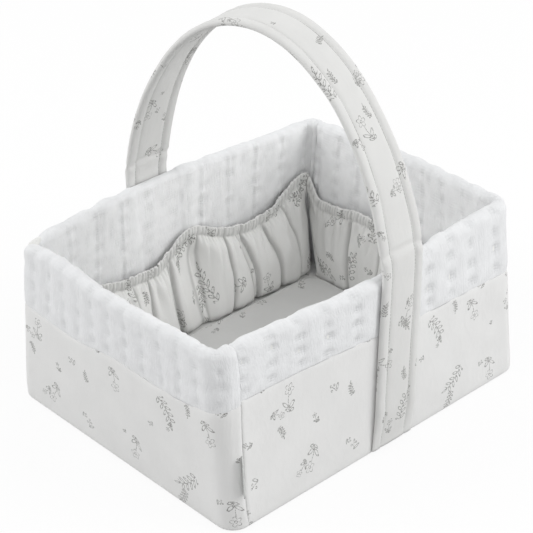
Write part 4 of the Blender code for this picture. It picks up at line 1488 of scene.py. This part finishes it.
def waffle_material(groups):
    """White cotton, painted a little greyer in the quilting's dents as painted shade, with crinkles
    across them. Inside, the lining is painted lighter as painted light.
    """
    made, pen, shader = new_material("waffle_cotton", WAFFLE_COLOUR, 0.95, 0.25)
    place = pen.node("ShaderNodeUVMap").outputs[0]
    patch = pen.noise(place, 90.0, 3.0)
    dent = pen.hollow_shade()
    _, y, _ = pen.split(place)
    crest = WAFFLE_OUTSIDE + WAFFLE_OVER / 2
    # Painted light: from the crest inwards the colour turns to the lighter lining colour.
    cloth = pen.mix(pen.span(y, crest, crest + 0.012), (*WAFFLE_COLOUR, 1), LINING_PAINTED_LIGHT_COLOUR)
    cloth = pen.mix(pen.span(patch, 0.3, 0.7, 0.12, 0.0), cloth, WAFFLE_PATCH_COLOUR)
    pucker = pen.math("SINE", pen.times(y, 2 * math.pi / PUCKER_PITCH))
    uneven = pen.math("MULTIPLY_ADD", pucker, 0.20, 0.80)
    uneven = pen.times(uneven, pen.span(pen.noise(place, 320.0), 0.3, 0.7, 0.6, 1.0))
    # Painted shade in the quilting's dents, uneven along the puckers.
    dent_shade = pen.times(pen.times(dent, uneven), 0.58)
    pen.feed(shader.inputs["Base Color"], pen.mix(dent_shade, cloth, shaded(WAFFLE_COLOUR, 0.62)))
    pen.feed(shader.inputs["Roughness"], pen.span(patch, 0.2, 0.8, 0.90, 0.98))
    weave = pen.use(groups["weave"], Place=place, Pitch=THREAD_PITCH)
    crease = pen.use(groups["crinkle"], Place=place, Across=330.0, Along=90.0)
    puckers = pen.plus(crease, pen.times(pen.times(pucker, dent), 0.5))
    under = bump(pen, shader, puckers, 0.0008, 0.5)
    bump(pen, shader, weave, 0.00022, 0.5, under)
    return made


def plain_material(name, colour, roughness, grain_scale, depth):
    made, pen, shader = new_material(name, colour, roughness)
    place = pen.node("ShaderNodeTexCoord").outputs["Object"]
    grain = pen.noise(place, grain_scale, 4.0, 0.6)
    cloth = pen.mix(pen.span(grain, 0.3, 0.7), shaded(colour, 0.9), (*colour, 1))
    pen.feed(shader.inputs["Base Color"], cloth)
    bump(pen, shader, grain, depth, 0.6)
    return made


# Floor, light and camera

FLOOR_SIZE = 12
FLOOR_GLOW = 0.88
FLOOR_SEEN_COLOUR = (0.92, 0.92, 0.92, 1)
FLOOR_LIT_COLOUR = (0.58, 0.58, 0.58, 1)
WORLD_LEVEL = 0.60

# Lamps: name, place, size and power
LAMPS = (
    ("front_lamp", (1.65, -2.00, 1.55), 2.0, 41),
    ("left_lamp", (-1.95, 1.70, 1.55), 2.0, 36),
    ("back_lamp", (2.00, 1.70, 1.80), 1.6, 6),
    ("high_lamp", (-0.60, -1.30, 2.60), 2.0, 9),
)
LAMP_AIM = (0, 0, 0.12)

CAMERA_PLACE = (-0.92652, -1.01133, 0.93787)
CAMERA_AZIMUTH = math.radians(-42.399)
CAMERA_ELEVATION = math.radians(30.672)
CAMERA_ROLL = math.radians(-0.990)
PHOTO_WIDTH = 533
FOCAL_PIXELS = 1744.13
SENSOR_WIDTH = 36


def seen_ray(pen):
    """1 for what the camera sees directly or in a reflection, and 0 for the light itself."""
    path = pen.node("ShaderNodeLightPath")
    seen = pen.math("MAXIMUM", path.outputs["Is Camera Ray"], path.outputs["Is Glossy Ray"])
    return pen.math("MAXIMUM", seen, path.outputs["Is Transmission Ray"])


def floor_material():
    """Lit as a pale floor, and seen as nearly white with the basket's soft shadow."""
    made = bpy.data.materials.new("pale_floor")
    made.use_nodes = True
    pen = Pen(made.node_tree)
    shader = made.node_tree.nodes["Principled BSDF"]
    colour = pen.mix(seen_ray(pen), FLOOR_LIT_COLOUR, FLOOR_SEEN_COLOUR)
    pen.feed(shader.inputs["Base Color"], colour)
    shader.inputs["Roughness"].default_value = 0.9
    shader.inputs["Specular IOR Level"].default_value = 0
    white = pen.node("ShaderNodeEmission")
    white.inputs["Strength"].default_value = 1
    share = pen.times(seen_ray(pen), FLOOR_GLOW)
    blend = pen.fed("ShaderNodeMixShader", (share, shader.outputs[0], white.outputs[0]))
    pen.feed(made.node_tree.nodes["Material Output"].inputs["Surface"], blend.outputs[0])
    return made


def studio():
    unselect()
    bpy.ops.mesh.primitive_plane_add(size=FLOOR_SIZE)
    floor = bpy.context.object
    floor.name = "floor"
    floor.data.materials.append(floor_material())

    world = bpy.data.worlds.new("studio")
    world.use_nodes = True
    bpy.context.scene.world = world
    pen = Pen(world.node_tree)
    back = world.node_tree.nodes["Background"]
    back.inputs["Color"].default_value = (1, 1, 1, 1)
    strength = pen.math("MULTIPLY_ADD", seen_ray(pen), 1 - WORLD_LEVEL, WORLD_LEVEL)
    pen.feed(back.inputs["Strength"], strength)

    for name, place, size, power in LAMPS:
        unselect()
        bpy.ops.object.light_add(type="AREA", location=place)
        lamp = bpy.context.object
        lamp.name = name
        lamp.data.shape = "SQUARE"
        lamp.data.size = size
        lamp.data.energy = power
        aim = Vector(LAMP_AIM) - Vector(place)
        lamp.rotation_euler = aim.to_track_quat("-Z", "Y").to_euler()


def camera():
    """Looks at the basket as the photograph does."""
    bpy.ops.object.camera_add(location=CAMERA_PLACE)
    made = bpy.context.object
    made.name = "camera"
    back = Vector((
        math.sin(CAMERA_AZIMUTH) * math.cos(CAMERA_ELEVATION),
        -math.cos(CAMERA_AZIMUTH) * math.cos(CAMERA_ELEVATION),
        math.sin(CAMERA_ELEVATION),
    ))
    right = Vector((0, 0, 1)).cross(back).normalized()
    up = back.cross(right)
    rolled_right = right * math.cos(CAMERA_ROLL) + up * math.sin(CAMERA_ROLL)
    rolled_up = up * math.cos(CAMERA_ROLL) - right * math.sin(CAMERA_ROLL)
    turn = Matrix((rolled_right, rolled_up, back)).transposed()
    made.rotation_euler = turn.to_euler()
    made.data.sensor_width = SENSOR_WIDTH
    made.data.lens = made.data.sensor_width * FOCAL_PIXELS / PHOTO_WIDTH
    made.data.clip_start = 0.05
    made.data.clip_end = 50
    bpy.context.scene.camera = made


def dress_construction(cover, wadding, board):
    """Finishes for what still shows of the construction, and for what lies inside."""
    for name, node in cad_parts.items():
        finish = cover
        if "wadding" in name or "core" in name:
            finish = wadding
        if "board" in name:
            finish = board
        node.data.materials.clear()
        node.data.materials.append(finish)


# Seeds of the pieces' unevenness. Each wall's pieces add a step for their wall.
WALL_SEED_STEP = 7
WAFFLE_SEED = 10
COVER_SEED = 50
POCKET_SEED = 90
BASE_SEED = 5
FLOOR_SEED = 6
INSERT_SEED = 8
STRAP_SEED = 30

# Which of the strap's two valleys a row of stitches lies in, and on which face
STITCH_ROWS = ((-1, 1), (1, 1), (-1, -1), (1, -1))


def build():
    bpy.context.scene.view_settings.view_transform = "Standard"
    groups = make_groups()
    waffle = waffle_material(groups)
    cloths = {name: jersey_material(name, groups, *row) for name, row in PRINTED_CLOTHS.items()}
    plain = {name: plain_material(name, *row) for name, row in PLAIN_FINISHES.items()}
    cover = cloths["printed_jersey"]
    lining = cloths["pocket_jersey"]
    dress_construction(cover, plain["wadding"], plain["stiff_board"])
    for number, side in enumerate(SIDES):
        step = WALL_SEED_STEP * number
        waffle_panel(side, waffle, WAFFLE_SEED + step)
        jersey_cover(side, cover, COVER_SEED + step)
        pocket(side, lining, POCKET_SEED + step)
        elastic(side, plain["elastic"], POCKET_SEED + step)
    flat_layer("base_cloth", "base_cover", cover, BASE_SEED)
    flat_layer("floor_cloth", "floor_lining", lining, FLOOR_SEED)
    padded_insert(cloths["painted_shade_floor_jersey"], INSERT_SEED)
    strap(cloths["strap_jersey"], STRAP_SEED)
    for number, (side_of, face) in enumerate(STITCH_ROWS):
        topstitch(f"strap_stitching_{number + 1}", side_of, face, plain["stitching"])
    label_tab(plain["tab_tape"])
    studio()
    camera()


build()
